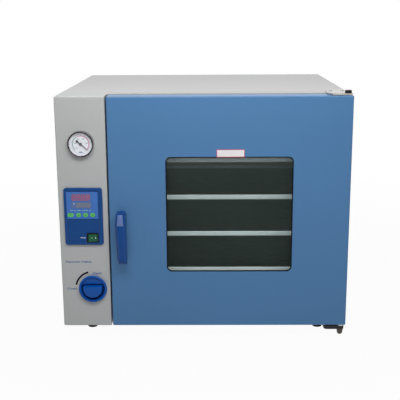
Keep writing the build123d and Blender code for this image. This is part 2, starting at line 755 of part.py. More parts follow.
# ---- Door ----
door_centre = (DOOR_X, DOOR_Z)
window_centre = (DOOR_X, WINDOW_Z)


def grown(outline, growth):
    """Rounded outline moved outwards by growth on every side."""
    return (outline[0] + 2 * growth, outline[1] + 2 * growth, outline[2] + growth)


WINDOW = (WINDOW_WIDTH, WINDOW_HEIGHT, WINDOW_RADIUS)

# Folded outer skin with the window, the spindle hole, the latch slot and the hinge holes.
with BuildPart() as door_skin:
    slab((DOOR_WIDTH, DOOR_HEIGHT), door_centre, FRONT, DOOR_BACK)
    fillet(door_skin.edges().filter_by(Axis.Y), BEND)
    fillet(door_skin.faces().sort_by(Axis.Y)[0].edges(), BEND)
    offset(amount=-SHEET, openings=door_skin.faces().sort_by(Axis.Y)[-1])
    opening(WINDOW, window_centre, FRONT, FRONT + SHEET)
    bore_y(SPINDLE_RADIUS + BEARING_WALL + FIT, HANDLE_X, HANDLE_Z, FRONT, FRONT + SHEET)
    latch_slot(DOOR_LEFT, 4 * SHEET)
    with Locations((HINGE_X, HINGE_Y, DOOR_Z)):
        Cylinder(BUSH_RADIUS + FIT, DOOR_HEIGHT + 2, mode=Mode.SUBTRACT)

pan_opening = grown(seal_outer, PAN_RELIEF)

# Inner pan closes the door's back; its opening clears the chamber's seal.
with BuildPart() as door_inner_pan:
    slab(
        (DOOR_WIDTH - 2 * SHEET, DOOR_HEIGHT - 2 * SHEET),
        door_centre,
        DOOR_BACK - PAN_FLANGE,
        DOOR_BACK,
    )
    offset(amount=-SHEET, openings=door_inner_pan.faces().sort_by(Axis.Y)[0])
    fillet(door_inner_pan.edges().filter_by(Axis.Y).group_by(SortBy.LENGTH)[-1], BEND - SHEET)
    opening(pan_opening, window_centre, DOOR_BACK - SHEET, DOOR_BACK)

gasket_back = FRONT + SHEET + GASKET_FRONT + OUTER_PANE
pane_pocket = grown(WINDOW, GASKET_WIDTH - 3)

# Rubber frame that holds the outer pane against the skin.
with BuildPart() as window_gasket:
    slab(grown(WINDOW, GASKET_WIDTH), window_centre, FRONT + SHEET, gasket_back)
    opening(grown(WINDOW, -GASKET_LIP), window_centre, FRONT + SHEET, gasket_back)
    opening(pane_pocket, window_centre, FRONT + SHEET + GASKET_FRONT, gasket_back)

with BuildPart() as outer_window:
    slab(grown(pane_pocket, -SLIP), window_centre, FRONT + SHEET + GASKET_FRONT, gasket_back)

# Sheet tunnel between the two panes, with a lip that clamps the outer one.
with BuildPart() as window_frame:
    tunnel = grown(WINDOW, TUNNEL_RELIEF)
    slab(grown(tunnel, SHEET), window_centre, gasket_back, PANE_FRONT)
    opening(tunnel, window_centre, gasket_back + SHEET, PANE_FRONT)
    opening(grown(WINDOW, TUNNEL_LIP_RELIEF), window_centre, gasket_back, gasket_back + SHEET)

inner_pane = grown(pan_opening, PANE_LAP)

# Thick toughened pane that closes on the seal.
with BuildPart() as inner_glass:
    slab((inner_pane[0], inner_pane[1], PANE_CORNER), window_centre, PANE_FRONT, PANE_BACK)


def clip_profile():
    """Section of a spring clip over the pane's edge, in (distance past the edge, distance from the pan)."""
    pane_edge = CLIP_SHEET / 2 + SLIP
    over = INNER_PANE + SLIP + CLIP_SHEET / 2
    folded(
        [(CLIP_FOOT, CLIP_SHEET / 2), (pane_edge, CLIP_SHEET / 2), (pane_edge, over), (-CLIP_REACH, over)],
        0.8 * CLIP_SHEET,
        CLIP_SHEET,
    )


# Spring clips on the inner pan that press the thick pane home.
with BuildPart() as glass_clips:
    for side in (-1, 1):
        for shift in (-CLIP_SPREAD, CLIP_SPREAD):
            edge_z = WINDOW_Z + side * inner_pane[1] / 2
            upright = Plane(
                origin=(DOOR_X + shift - side * CLIP_WIDTH / 2, PANE_BACK, edge_z),
                x_dir=(0, 0, side),
                z_dir=(side, 0, 0),
            )
            with BuildSketch(upright):
                clip_profile()
            extrude(amount=CLIP_WIDTH)
            edge_x = DOOR_X + side * inner_pane[0] / 2
            level = Plane(
                origin=(edge_x, PANE_BACK, WINDOW_Z + shift + side * CLIP_WIDTH / 2),
                x_dir=(side, 0, 0),
                z_dir=(0, 0, -side),
            )
            with BuildSketch(level):
                clip_profile()
            extrude(amount=CLIP_WIDTH)

# ---- Hinges ----
lower_plate_top = BOTTOM - THRUST_WASHER
lower_plate_bottom = lower_plate_top - LOWER_PLATE
UPPER_PLATE_RIGHT = RIGHT - UPPER_PLATE_INSET
LOWER_PLATE_RIGHT = RIGHT - LOWER_PLATE_INSET

# Flanged bushes in the door's upper and lower walls.
with BuildPart() as hinge_bushes:
    for wall, inward in ((BOTTOM, 1), (DOOR_TOP, -1)):
        turned_upright(
            [
                (PIN_RADIUS + FIT, wall),
                (BUSH_RADIUS, wall),
                (BUSH_RADIUS, wall + inward * SHEET),
                (BUSH_RADIUS + 1, wall + inward * SHEET),
                (BUSH_RADIUS + 1, wall + inward * (SHEET + BUSH_FLANGE)),
                (BUSH_RADIUS, wall + inward * (SHEET + BUSH_FLANGE)),
                (BUSH_RADIUS, wall + inward * BUSH_LENGTH),
                (PIN_RADIUS + FIT, wall + inward * BUSH_LENGTH),
            ],
            HINGE_X,
            HINGE_Y,
        )

with BuildPart() as upper_hinge_plate:
    with BuildSketch(Plane.XY.offset(TOP)) as upper_outline:
        with Locations(
            (
                UPPER_PLATE_RIGHT - UPPER_PLATE_WIDTH / 2,
                FRONT + HINGE_PLATE_FRONT + UPPER_PLATE_DEPTH / 2,
            )
        ):
            Rectangle(UPPER_PLATE_WIDTH, UPPER_PLATE_DEPTH)
        front_corners = upper_outline.vertices().group_by(Axis.Y)[0].sort_by(Axis.X)
        chamfer(front_corners[0], 12, 8)
        fillet(upper_outline.vertices().sort_by(Axis.X)[-2:], 5)
    extrude(amount=UPPER_PLATE)
    with Locations((HINGE_X, HINGE_Y, TOP)):
        Cylinder(PIN_RADIUS + FIT, 4 * UPPER_PLATE, mode=Mode.SUBTRACT)

with BuildPart() as upper_pivot_bolt:
    head_base = TOP + UPPER_PLATE
    turned_upright(
        [
            (0, DOOR_TOP - PIN_IN_BUSH),
            (PIN_RADIUS, DOOR_TOP - PIN_IN_BUSH),
            (PIN_RADIUS, head_base),
            (BOLT_HEAD_RADIUS, head_base),
            (BOLT_HEAD_RADIUS, head_base + UPPER_HEAD - 1),
            (BOLT_HEAD_RADIUS - 1, head_base + UPPER_HEAD),
            (0, head_base + UPPER_HEAD),
        ],
        HINGE_X,
        HINGE_Y,
    )
    with BuildSketch(Plane.XY.offset(head_base + UPPER_HEAD)):
        with Locations((HINGE_X, HINGE_Y)):
            RegularPolygon(0.55 * BOLT_HEAD_RADIUS, 6)
    extrude(amount=-0.6 * UPPER_HEAD, mode=Mode.SUBTRACT)

# Lower bracket: a plate under the door with a narrower raised tail under the frame.
with BuildPart() as lower_hinge_bracket:
    plate_left = LOWER_PLATE_RIGHT - LOWER_PLATE_WIDTH
    plate_front = FRONT + HINGE_PLATE_FRONT
    plate_back = plate_front + LOWER_PLATE_DEPTH
    shoulder_y = DOOR_BACK - LOWER_SHOULDER_GAP
    with BuildSketch(Plane.XY.offset(lower_plate_bottom)) as plate_outline:
        with BuildLine():
            Polyline(
                (plate_left, plate_front),
                (LOWER_PLATE_RIGHT, plate_front),
                (LOWER_PLATE_RIGHT, plate_back),
                (LOWER_PLATE_RIGHT - LOWER_TAIL_WIDTH, plate_back),
                (LOWER_PLATE_RIGHT - LOWER_TAIL_WIDTH, shoulder_y),
                (plate_left, shoulder_y),
                close=True,
            )
        make_face()
        fillet(plate_outline.vertices().group_by(Axis.Y)[0], 8)
    extrude(amount=LOWER_PLATE)
    with BuildSketch(Plane.XY.offset(lower_plate_top)):
        with Locations(
            (LOWER_PLATE_RIGHT - LOWER_TAIL_WIDTH / 2, (FRAME_FACE + 2 + plate_back) / 2)
        ):
            Rectangle(LOWER_TAIL_WIDTH, plate_back - FRAME_FACE - 2)
    extrude(amount=THRUST_WASHER)
    with Locations((HINGE_X, HINGE_Y, lower_plate_top)):
        Cylinder(PIN_RADIUS + FIT, 4 * LOWER_PLATE, mode=Mode.SUBTRACT)

with BuildPart() as thrust_washer:
    with BuildSketch(Plane.XY.offset(lower_plate_top)):
        with Locations((HINGE_X, HINGE_Y)):
            Circle(BUSH_RADIUS + 1)
            Circle(PIN_RADIUS + FIT, mode=Mode.SUBTRACT)
    extrude(amount=THRUST_WASHER)

with BuildPart() as lower_pivot_bolt:
    head_end = lower_plate_bottom - LOWER_HEAD
    turned_upright(
        [
            (0, head_end),
            (3.5, head_end),
            (5.6, head_end + 2),
            (6.6, head_end + 5),
            (6.6, lower_plate_bottom - 4),
            (BOLT_HEAD_RADIUS, lower_plate_bottom - 4),
            (BOLT_HEAD_RADIUS, lower_plate_bottom),
            (PIN_RADIUS, lower_plate_bottom),
            (PIN_RADIUS, BOTTOM + PIN_IN_BUSH),
            (0, BOTTOM + PIN_IN_BUSH),
        ],
        HINGE_X,
        HINGE_Y,
    )

# ---- Handle ----
bearing_back = FRONT + BEARING_LENGTH
shoulder_front = bearing_back + 3 * FIT
spindle_end = FRONT + TONGUE_DEPTH + TONGUE_THICKNESS + SPINDLE_END

# Rose and bearing for the spindle.
with BuildPart() as handle_bush:
    turned(
        [
            (FRONT - ROSE_THICKNESS, SPINDLE_RADIUS + FIT),
            (FRONT - ROSE_THICKNESS, ROSE_RADIUS - 1),
            (FRONT - ROSE_THICKNESS + 1, ROSE_RADIUS),
            (FRONT, ROSE_RADIUS),
            (FRONT, SPINDLE_RADIUS + BEARING_WALL),
            (bearing_back, SPINDLE_RADIUS + BEARING_WALL),
            (bearing_back, SPINDLE_RADIUS + FIT),
        ],
        HANDLE_X,
        HANDLE_Z,
    )

lever_back = FRONT - ROSE_THICKNESS - LEVER_GAP
grip_front = FRONT - HANDLE_REACH
grip_back = grip_front + GRIP_THICKNESS
lever_tip = HANDLE_Z - HANDLE_DROP
lever_crown = HANDLE_Z + HANDLE_CROWN
slope_low = HANDLE_Z - SLOPE_DROP

# Moulded lever: a side profile cut to the outline that is seen from the front.
with BuildPart() as handle_lever:
    with BuildSketch(across(HANDLE_X - HANDLE_WIDTH / 2)):
        with BuildLine():
            boss = Polyline(
                (grip_back + 1, lever_tip + 14),
                (grip_back - 0.5, slope_low - 16),
                (grip_back + 7, slope_low + 2),
                (lever_back, slope_low + 3.5),
                (lever_back, lever_crown),
                (grip_front + 21, lever_crown),
                (grip_front + 8, HANDLE_Z + 6),
                (grip_front, slope_low),
                (grip_front + 1, lever_tip + 25),
            )
            tip = RadiusArc(boss @ 1, (grip_back - 6, lever_tip), -30)
            RadiusArc(tip @ 1, boss @ 0, -9)
        make_face()
    extrude(amount=HANDLE_WIDTH)
    with BuildSketch(facing(FRONT)):
        with BuildLine():
            half = HANDLE_WIDTH / 2
            outline = Polyline(
                (HANDLE_X - half + 3.5, lever_tip + 5),
                (HANDLE_X - half + 0.8, lever_tip + 14),
                (HANDLE_X - half, slope_low),
                (HANDLE_X - half + 1, HANDLE_Z + 6),
                (HANDLE_X - half + 2.5, lever_crown),
                (HANDLE_X + half - 2.5, lever_crown),
                (HANDLE_X + half - 1, HANDLE_Z + 6),
                (HANDLE_X + half, slope_low),
                (HANDLE_X + half - 0.8, lever_tip + 14),
                (HANDLE_X + half - 3.5, lever_tip + 5),
            )
            ThreePointArc(outline @ 1, (HANDLE_X, lever_tip), outline @ 0)
        make_face()
    extrude(amount=HANDLE_REACH, mode=Mode.INTERSECT)
    bore_y(
        SPINDLE_RADIUS + FIT,
        HANDLE_X,
        HANDLE_Z,
        lever_back - SPINDLE_IN_LEVER,
        lever_back,
    )

with BuildPart() as handle_spindle:
    turned(
        [
            (lever_back - SPINDLE_IN_LEVER, 0),
            (lever_back - SPINDLE_IN_LEVER, SPINDLE_RADIUS),
            (shoulder_front, SPINDLE_RADIUS),
            (shoulder_front, SPINDLE_RADIUS + BEARING_WALL),
            (FRONT + TONGUE_DEPTH, SPINDLE_RADIUS + BEARING_WALL),
            (FRONT + TONGUE_DEPTH, SPINDLE_RADIUS),
            (spindle_end, SPINDLE_RADIUS),
            (spindle_end, 0),
        ],
        HANDLE_X,
        HANDLE_Z,
    )

# Tongue that stands opposite the lever and swings into the strike plate.
with BuildPart() as latch_tongue:
    with BuildSketch(facing(FRONT + TONGUE_DEPTH + TONGUE_THICKNESS)):
        with Locations((HANDLE_X, HANDLE_Z)):
            Circle(TONGUE_WIDTH / 2 + 4)
        with BuildLine():
            Polyline(
                (HANDLE_X - TONGUE_WIDTH / 2, HANDLE_Z),
                (HANDLE_X + TONGUE_WIDTH / 2, HANDLE_Z),
                (HANDLE_X + TONGUE_WIDTH / 2, HANDLE_Z + TONGUE_LENGTH - 6),
                (HANDLE_X + TONGUE_WIDTH / 2 - 5, HANDLE_Z + TONGUE_LENGTH),
                (HANDLE_X - TONGUE_WIDTH / 2 + 1, HANDLE_Z + TONGUE_LENGTH),
                (HANDLE_X - TONGUE_WIDTH / 2, HANDLE_Z + TONGUE_LENGTH - 1),
                close=True,
            )
        make_face()
        with Locations((HANDLE_X, HANDLE_Z)):
            Circle(SPINDLE_RADIUS + FIT, mode=Mode.SUBTRACT)
    extrude(amount=TONGUE_THICKNESS)

# ---- Gauge ----
gauge_lens_front = FRONT - GAUGE_PROUD + 1.5
gauge_lens_back = gauge_lens_front + GAUGE_GLASS
dial_back = FRONT - DIAL_DEPTH
dial_front = dial_back - 1.0
needle_hub_back = dial_front - 0.8
needle_hub_front = needle_hub_back - NEEDLE_HUB
gauge_back = FRONT + GAUGE_CASE_DEPTH
gauge_stem_end = gauge_back + GAUGE_STEM

# Steel cup with the movement's post and its pin.
with BuildPart() as gauge_case:
    turned(
        [
            (gauge_lens_back, GAUGE_CASE_RADIUS),
            (gauge_back, GAUGE_CASE_RADIUS),
            (gauge_back, GAUGE_STEM_RADIUS),
            (gauge_stem_end, GAUGE_STEM_RADIUS),
            (gauge_stem_end, 0),
            (needle_hub_front - 0.3, 0),
            (needle_hub_front - 0.3, NEEDLE_PIN),
            (dial_back, NEEDLE_PIN),
            (dial_back, GAUGE_POST_RADIUS),
            (gauge_back - GAUGE_WALL, GAUGE_POST_RADIUS),
            (gauge_back - GAUGE_WALL, GAUGE_CASE_RADIUS - GAUGE_WALL),
            (gauge_lens_back, GAUGE_CASE_RADIUS - GAUGE_WALL),
        ],
        GAUGE_X,
        GAUGE_Z,
    )

# Polished ring that holds the glass and hides the edge of the hole.
with BuildPart() as gauge_bezel:
    ring_front = FRONT - GAUGE_PROUD
    turned(
        [
            (FRONT, GAUGE_CASE_RADIUS + SLIP),
            (FRONT, GAUGE_RADIUS + 1.5),
            (FRONT - 1.2, GAUGE_RADIUS + 1.5),
            (FRONT - 2, GAUGE_RADIUS),
            (ring_front + 3, GAUGE_RADIUS),
            (ring_front + 1, GAUGE_RADIUS - 0.8),
            (ring_front, GAUGE_RADIUS - 2.2),
            (ring_front + 0.6, GAUGE_RADIUS - 4.2),
            (gauge_lens_front, GAUGE_RADIUS - 4.6),
            (gauge_lens_front, GAUGE_CASE_RADIUS + SLIP),
        ],
        GAUGE_X,
        GAUGE_Z,
    )

with BuildPart() as gauge_lens:
    turned(
        [
            (gauge_lens_front, 0),
            (gauge_lens_front, GAUGE_CASE_RADIUS),
            (gauge_lens_back, GAUGE_CASE_RADIUS),
            (gauge_lens_back, 0),
        ],
        GAUGE_X,
        GAUGE_Z,
    )

with BuildPart() as gauge_dial:
    turned(
        [
            (dial_front, NEEDLE_PIN + 0.5),
            (dial_front, GAUGE_CASE_RADIUS - GAUGE_WALL - SLIP),
            (dial_back, GAUGE_CASE_RADIUS - GAUGE_WALL - SLIP),
            (dial_back, NEEDLE_PIN + 0.5),
        ],
        GAUGE_X,
        GAUGE_Z,
    )

with BuildPart() as gauge_needle:
    with BuildSketch(facing(needle_hub_back)):
        with Locations((GAUGE_X, GAUGE_Z)):
            Circle(NEEDLE_HUB_RADIUS)
    extrude(amount=NEEDLE_HUB)
    with BuildSketch(facing(needle_hub_back - 0.8)):
        with Locations(Location((GAUGE_X, GAUGE_Z), NEEDLE_ANGLE)):
            Polygon(
                (-NEEDLE_TAIL, -NEEDLE_ROOT / 2),
                (NEEDLE_LENGTH, -NEEDLE_POINT / 2),
                (NEEDLE_LENGTH, NEEDLE_POINT / 2),
                (-NEEDLE_TAIL, NEEDLE_ROOT / 2),
                align=None,
            )
            with Locations((-NEEDLE_TAIL, 0)):
                Circle(NEEDLE_TAIL_RADIUS)
    extrude(amount=NEEDLE_SHEET)
    bore_y(NEEDLE_PIN + FIT, GAUGE_X, GAUGE_Z, needle_hub_front, needle_hub_back)

# ---- Controller ----
control_centre = (CONTROL_X, CONTROL_Z)
recess_left = CONTROL_X - CONTROL_WIDTH / 2 + CONTROL_RIM
recess_right = CONTROL_X + CONTROL_WIDTH / 2 - CONTROL_WIDE_RIM
recess_centre = ((recess_left + recess_right) / 2, CONTROL_Z)
recess_size = (recess_right - recess_left, CONTROL_HEIGHT - 2 * CONTROL_RIM, 2)
display_x = recess_left + 0.6 + DISPLAY_WIDTH / 2
display_z = CONTROL_Z + CONTROL_HEIGHT / 2 - CONTROL_RIM - 3 - DISPLAY_HEIGHT / 2
key_z = BOTTOM + KEY_ROW_RISE
keys_at = [(LEFT + inset, width) for inset, width in zip(KEY_INSETS, KEY_WIDTHS)]


def key_outline(key_x, width, growth):
    """Rounded key cap outline, grown by the given clearance."""
    with Locations((key_x, key_z)):
        RectangleRounded(width + 2 * growth, KEY_HEIGHT + 2 * growth, KEY_HEIGHT / 2 - 0.1 + growth)


SWITCH_HOLE = (SWITCH_WIDTH - 3.0, SWITCH_HEIGHT - 3.0)

# Moulded surround with a sunk face.
with BuildPart() as controller_bezel:
    slab((CONTROL_WIDTH, CONTROL_HEIGHT, CONTROL_RADIUS), control_centre, CONTROL_FACE, FRONT)
    fillet(controller_bezel.faces().sort_by(Axis.Y)[0].edges(), 2)
    opening(recess_size, recess_centre, CONTROL_FACE, CONTROL_FLOOR)
    opening(SWITCH_HOLE, (SWITCH_X, SWITCH_Z), CONTROL_FACE, FRONT)
    with BuildSketch(facing(FRONT)):
        for key_x, key_width in keys_at:
            key_outline(key_x, key_width, KEY_CLEARANCE)
    extrude(amount=CONTROL_PROUD, mode=Mode.SUBTRACT)

# Keypad plate with the display windows printed on it.
with BuildPart() as display_panel:
    slab(
        (DISPLAY_WIDTH, DISPLAY_HEIGHT, 1),
        (display_x, display_z),
        CONTROL_FLOOR - DISPLAY_THICKNESS,
        CONTROL_FLOOR,
    )
    with BuildSketch(facing(FRONT)):
        for key_x, key_width in keys_at:
            key_outline(key_x, key_width, KEY_CLEARANCE)
    extrude(amount=CONTROL_PROUD, mode=Mode.SUBTRACT)

case_low = SWITCH_Z + SWITCH_HEIGHT / 2 + 3
case_high = CONTROL_Z + CONTROL_HEIGHT / 2 - 7

# Boxed circuit boards behind the display.
with BuildPart() as controller_case:
    slab(
        (CONTROL_CUTOUT[0] - 1, case_high - case_low),
        (CONTROL_X, (case_low + case_high) / 2),
        FRONT,
        FRONT + CONTROL_DEPTH,
    )

key_face = CONTROL_FLOOR - DISPLAY_THICKNESS - KEY_PROUD
KEY_BACK = FRONT - KEY_TRAVEL - SLIP

keys = []
for key_x, key_width in keys_at:
    with BuildPart() as key_cap:
        with BuildSketch(facing(KEY_BACK)):
            key_outline(key_x, key_width, 0)
        extrude(amount=KEY_BACK - key_face)
        fillet(key_cap.faces().sort_by(Axis.Y)[0].edges(), 0.6)
    keys.append(key_cap)

# ---- Power switch ----
switch_front = CONTROL_FLOOR - 2.0
switch_back = FRONT + SWITCH_DEPTH
ROCKER_OPENING = (ROCKER_WIDTH + 1.6, ROCKER_HEIGHT + 0.5)
pivot_y = CONTROL_FLOOR + 2.0

with BuildPart() as rocker_housing:
    slab((SWITCH_WIDTH, SWITCH_HEIGHT, 1.5), (SWITCH_X, SWITCH_Z), switch_front, CONTROL_FLOOR)
    fillet(rocker_housing.faces().sort_by(Axis.Y)[0].edges(), 0.6)
    slab(
        (SWITCH_HOLE[0] - 2 * SLIP, SWITCH_HOLE[1] - 2 * SLIP),
        (SWITCH_X, SWITCH_Z),
        CONTROL_FLOOR,
        switch_back,
    )
    opening(ROCKER_OPENING, (SWITCH_X, SWITCH_Z), switch_front, switch_back - 1.5)
    with Locations((SWITCH_X, pivot_y, SWITCH_Z)):
        Cylinder(PIVOT_RADIUS + FIT, ROCKER_OPENING[1] + 2 * PIVOT_PIN, mode=Mode.SUBTRACT)

# Rocker tipped to its pressed side: two flat faces that meet in a shallow V.
with BuildPart() as rocker:
    rocker_plane = Plane(
        origin=(SWITCH_X, pivot_y, SWITCH_Z - ROCKER_HEIGHT / 2), x_dir=(1, 0, 0), z_dir=(0, 0, 1)
    ).rotated((0, 0, ROCKER_TILT))
    with BuildSketch(rocker_plane):
        half_rocker = ROCKER_WIDTH / 2
        face_depth = CONTROL_FLOOR + 2.0 - switch_front
        face_rise = half_rocker * math.tan(math.radians(ROCKER_TILT))
        with BuildLine():
            Polyline(
                (-half_rocker, -face_depth - face_rise),
                (0, -face_depth),
                (half_rocker, -face_depth - face_rise),
                (half_rocker, 0),
                (0, 3.5),
                (-half_rocker, 0),
                close=True,
            )
        make_face()
    extrude(amount=ROCKER_HEIGHT)
    with Locations((SWITCH_X, pivot_y, SWITCH_Z)):
        Cylinder(PIVOT_RADIUS, ROCKER_OPENING[1] + 2 * PIVOT_PIN - 4 * FIT)

# ---- Valve ----
valve_front = FRONT + SHEET
valve_back = valve_front + VALVE_BODY_DEPTH
knob_back = FRONT - KNOB_GAP
knob_front = knob_back - KNOB_BASE
stem_front = knob_back - STEM_IN_KNOB
stem_end = valve_front + STEM_IN_VALVE

# Dished knob with a D-shaped grip.
with BuildPart() as valve_knob:
    turned(
        [
            (knob_back, 0),
            (knob_back, KNOB_RADIUS),
            (knob_front + 3, KNOB_RADIUS),
            (knob_front + 0.9, KNOB_RADIUS - 0.9),
            (knob_front, KNOB_RADIUS - 3),
            (knob_front, KNOB_RADIUS - KNOB_RIM),
            (knob_front + KNOB_DISH, KNOB_RADIUS - KNOB_RIM - 2.5),
            (knob_front + KNOB_DISH, 0),
        ],
        VALVE_X,
        VALVE_Z,
    )
    with BuildSketch(facing(knob_front + KNOB_DISH)):
        with BuildLine():
            grip_top = Line(
                (VALVE_X + GRIP_HALF_WIDTH, VALVE_Z + GRIP_HALF_HEIGHT),
                (VALVE_X - GRIP_HALF_WIDTH, VALVE_Z + GRIP_HALF_HEIGHT),
            )
            ThreePointArc(grip_top @ 1, (VALVE_X, VALVE_Z - GRIP_HALF_HEIGHT), grip_top @ 0)
        make_face()
    extrude(amount=KNOB_PROUD - KNOB_BASE - KNOB_GAP + KNOB_DISH, taper=GRIP_DRAFT)
    fillet(valve_knob.faces().sort_by(Axis.Y)[0].edges(), 2)
    bore_y(STEM_RADIUS + FIT, VALVE_X, VALVE_Z, stem_front, knob_back)

with BuildPart() as valve_stem:
    turned(
        [
            (stem_front, 0),
            (stem_front, STEM_RADIUS),
            (stem_end, STEM_RADIUS),
            (stem_end, 0),
        ],
        VALVE_X,
        VALVE_Z,
    )

outlet_y = FRONT + OUTLET_DEPTH
outlet_port_top = VALVE_Z + VALVE_BODY_RADIUS + VALVE_OUTLET
fitting_radius = TUBE_RADIUS + FITTING_WALL

# Brass body behind the fascia, with a rear inlet and an upward outlet.
with BuildPart() as valve_body:
    turned(
        [
            (valve_front, 0),
            (valve_front, VALVE_BODY_RADIUS),
            (valve_back - VALVE_PORT_LENGTH, VALVE_BODY_RADIUS),
            (valve_back - VALVE_PORT_LENGTH, fitting_radius),
            (valve_back, fitting_radius),
            (valve_back, 0),
        ],
        VALVE_X,
        VALVE_Z,
    )
    with BuildSketch(Plane.XY.offset(VALVE_Z)):
        with Locations((VALVE_X, outlet_y)):
            Circle(fitting_radius)
    extrude(amount=outlet_port_top - VALVE_Z)
    bore_y(STEM_RADIUS + FIT, VALVE_X, VALVE_Z, valve_front, stem_end + SLIP)

# ---- Vacuum lines ----
nozzle_inner_end = BACK - SHEET - NOZZLE_COLLAR


def line_tube(points):
    """Bent tube along the points."""
    with BuildLine() as route:
        FilletPolyline(*points, radius=TUBE_BEND)
    with BuildSketch(Plane(origin=route.line @ 0, z_dir=route.line % 0)) as section:
        Circle(TUBE_RADIUS)
        Circle(TUBE_RADIUS - TUBE_WALL, mode=Mode.SUBTRACT)
    sweep(section.sketch, path=route.line)


with BuildPart() as gauge_tube:
    line_tube(
        [
            (GAUGE_X, gauge_stem_end, GAUGE_Z),
            (GAUGE_X, gauge_port_y, GAUGE_Z),
            (GAUGE_X, gauge_port_y, gauge_port_z),
            (CHAMBER_LEFT, gauge_port_y, gauge_port_z),
        ]
    )

with BuildPart() as vacuum_inlet_tube:
    line_tube(
        [
            (VALVE_X, valve_back, VALVE_Z),
            (VALVE_X, inlet_y, VALVE_Z),
            (VALVE_X, inlet_y, inlet_z),
            (CHAMBER_LEFT, inlet_y, inlet_z),
        ]
    )

with BuildPart() as vacuum_outlet_tube:
    line_tube(
        [
            (VALVE_X, outlet_y, outlet_port_top),
            (VALVE_X, outlet_y, NOZZLE_Z),
            (VALVE_X, nozzle_inner_end, NOZZLE_Z),
        ]
    )

# Stub for a vacuum hose, with a collar on each side of the rear panel.
with BuildPart() as vacuum_nozzle:
    turned(
        [
            (nozzle_inner_end, TUBE_RADIUS - TUBE_WALL),
            (nozzle_inner_end, fitting_radius),
            (BACK - SHEET, fitting_radius),
            (BACK - SHEET, TUBE_RADIUS),
            (BACK, TUBE_RADIUS),
            (BACK, fitting_radius),
            (BACK + OUTER_COLLAR, fitting_radius),
            (BACK + OUTER_COLLAR, TUBE_RADIUS),
            (BACK + NOZZLE_LENGTH, TUBE_RADIUS),
            (BACK + NOZZLE_LENGTH, TUBE_RADIUS - TUBE_WALL),
        ],
        NOZZLE_X,
        NOZZLE_Z,
    )

# Gland for the supply lead.
with BuildPart() as cable_gland:
    gland_end = BACK + GLAND_PROUD
    gland_neck = GLAND_BORE + GLAND_NECK
    gland_nut = GLAND_BORE + GLAND_NUT
    gland_cap = GLAND_BORE + GLAND_CAP
    turned(
        [
            (gland_end - GLAND_LENGTH, GLAND_BORE),
            (gland_end - GLAND_LENGTH, gland_nut),
            (BACK - SHEET, gland_nut),
            (BACK - SHEET, gland_neck),
            (BACK, gland_neck),
            (BACK, gland_nut),
            (BACK + OUTER_COLLAR, gland_nut),
            (BACK + OUTER_COLLAR, gland_cap),
            (gland_end - 4, gland_cap),
            (gland_end, GLAND_BORE + 2),
            (gland_end, GLAND_BORE),
        ],
        NOZZLE_X,
        GLAND_Z,
    )

# ---- Labels and files ----
pieces = {
    "cabinet_cover": cabinet_cover,
    "base_pan": base_pan,
    "rear_panel": rear_panel,
    "front_frame": front_frame,
    "fascia_panel": fascia_panel,
    "strike_plate": strike_plate,
    "partition_panel": partition_panel,
    "feet": feet,
    "screws": screws,
    "chamber_liner": chamber_liner,
    "door_seal": door_seal,
    "heater_pads": heater_pads,
    "insulation": insulation,
    "temperature_probe": temperature_probe,
    "shelf_rack_left": shelf_rack_left,
    "shelf_rack_right": shelf_rack_right,
    "door_skin": door_skin,
    "door_inner_pan": door_inner_pan,
    "window_gasket": window_gasket,
    "outer_window": outer_window,
    "window_frame": window_frame,
    "inner_glass": inner_glass,
    "glass_clips": glass_clips,
    "hinge_bushes": hinge_bushes,
    "upper_hinge_plate": upper_hinge_plate,
    "upper_pivot_bolt": upper_pivot_bolt,
    "lower_hinge_bracket": lower_hinge_bracket,
    "thrust_washer": thrust_washer,
    "lower_pivot_bolt": lower_pivot_bolt,
    "handle_bush": handle_bush,
    "handle_lever": handle_lever,
    "handle_spindle": handle_spindle,
    "latch_tongue": latch_tongue,
    "gauge_case": gauge_case,
    "gauge_bezel": gauge_bezel,
    "gauge_lens": gauge_lens,
    "gauge_dial": gauge_dial,
    "gauge_needle": gauge_needle,
    "controller_bezel": controller_bezel,
    "display_panel": display_panel,
    "controller_case": controller_case,
    "rocker_housing": rocker_housing,
    "rocker": rocker,
    "valve_knob": valve_knob,
    "valve_stem": valve_stem,
    "valve_body": valve_body,
    "gauge_tube": gauge_tube,
    "vacuum_inlet_tube": vacuum_inlet_tube,
    "vacuum_outlet_tube": vacuum_outlet_tube,
    "vacuum_nozzle": vacuum_nozzle,
    "cable_gland": cable_gland,
}
for number, sheet_shelf in enumerate(shelves, start=1):
    pieces[f"shelf_{number}"] = sheet_shelf
for number, key_cap in enumerate(keys, start=1):
    pieces[f"key_{number}"] = key_cap

os.makedirs("parts", exist_ok=True)
for name, piece in pieces.items():
    piece.part.label = name
    export_step(piece.part, f"parts/{name}.step")
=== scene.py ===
import math
import bpy
import bmesh
from mathutils import Matrix, Vector


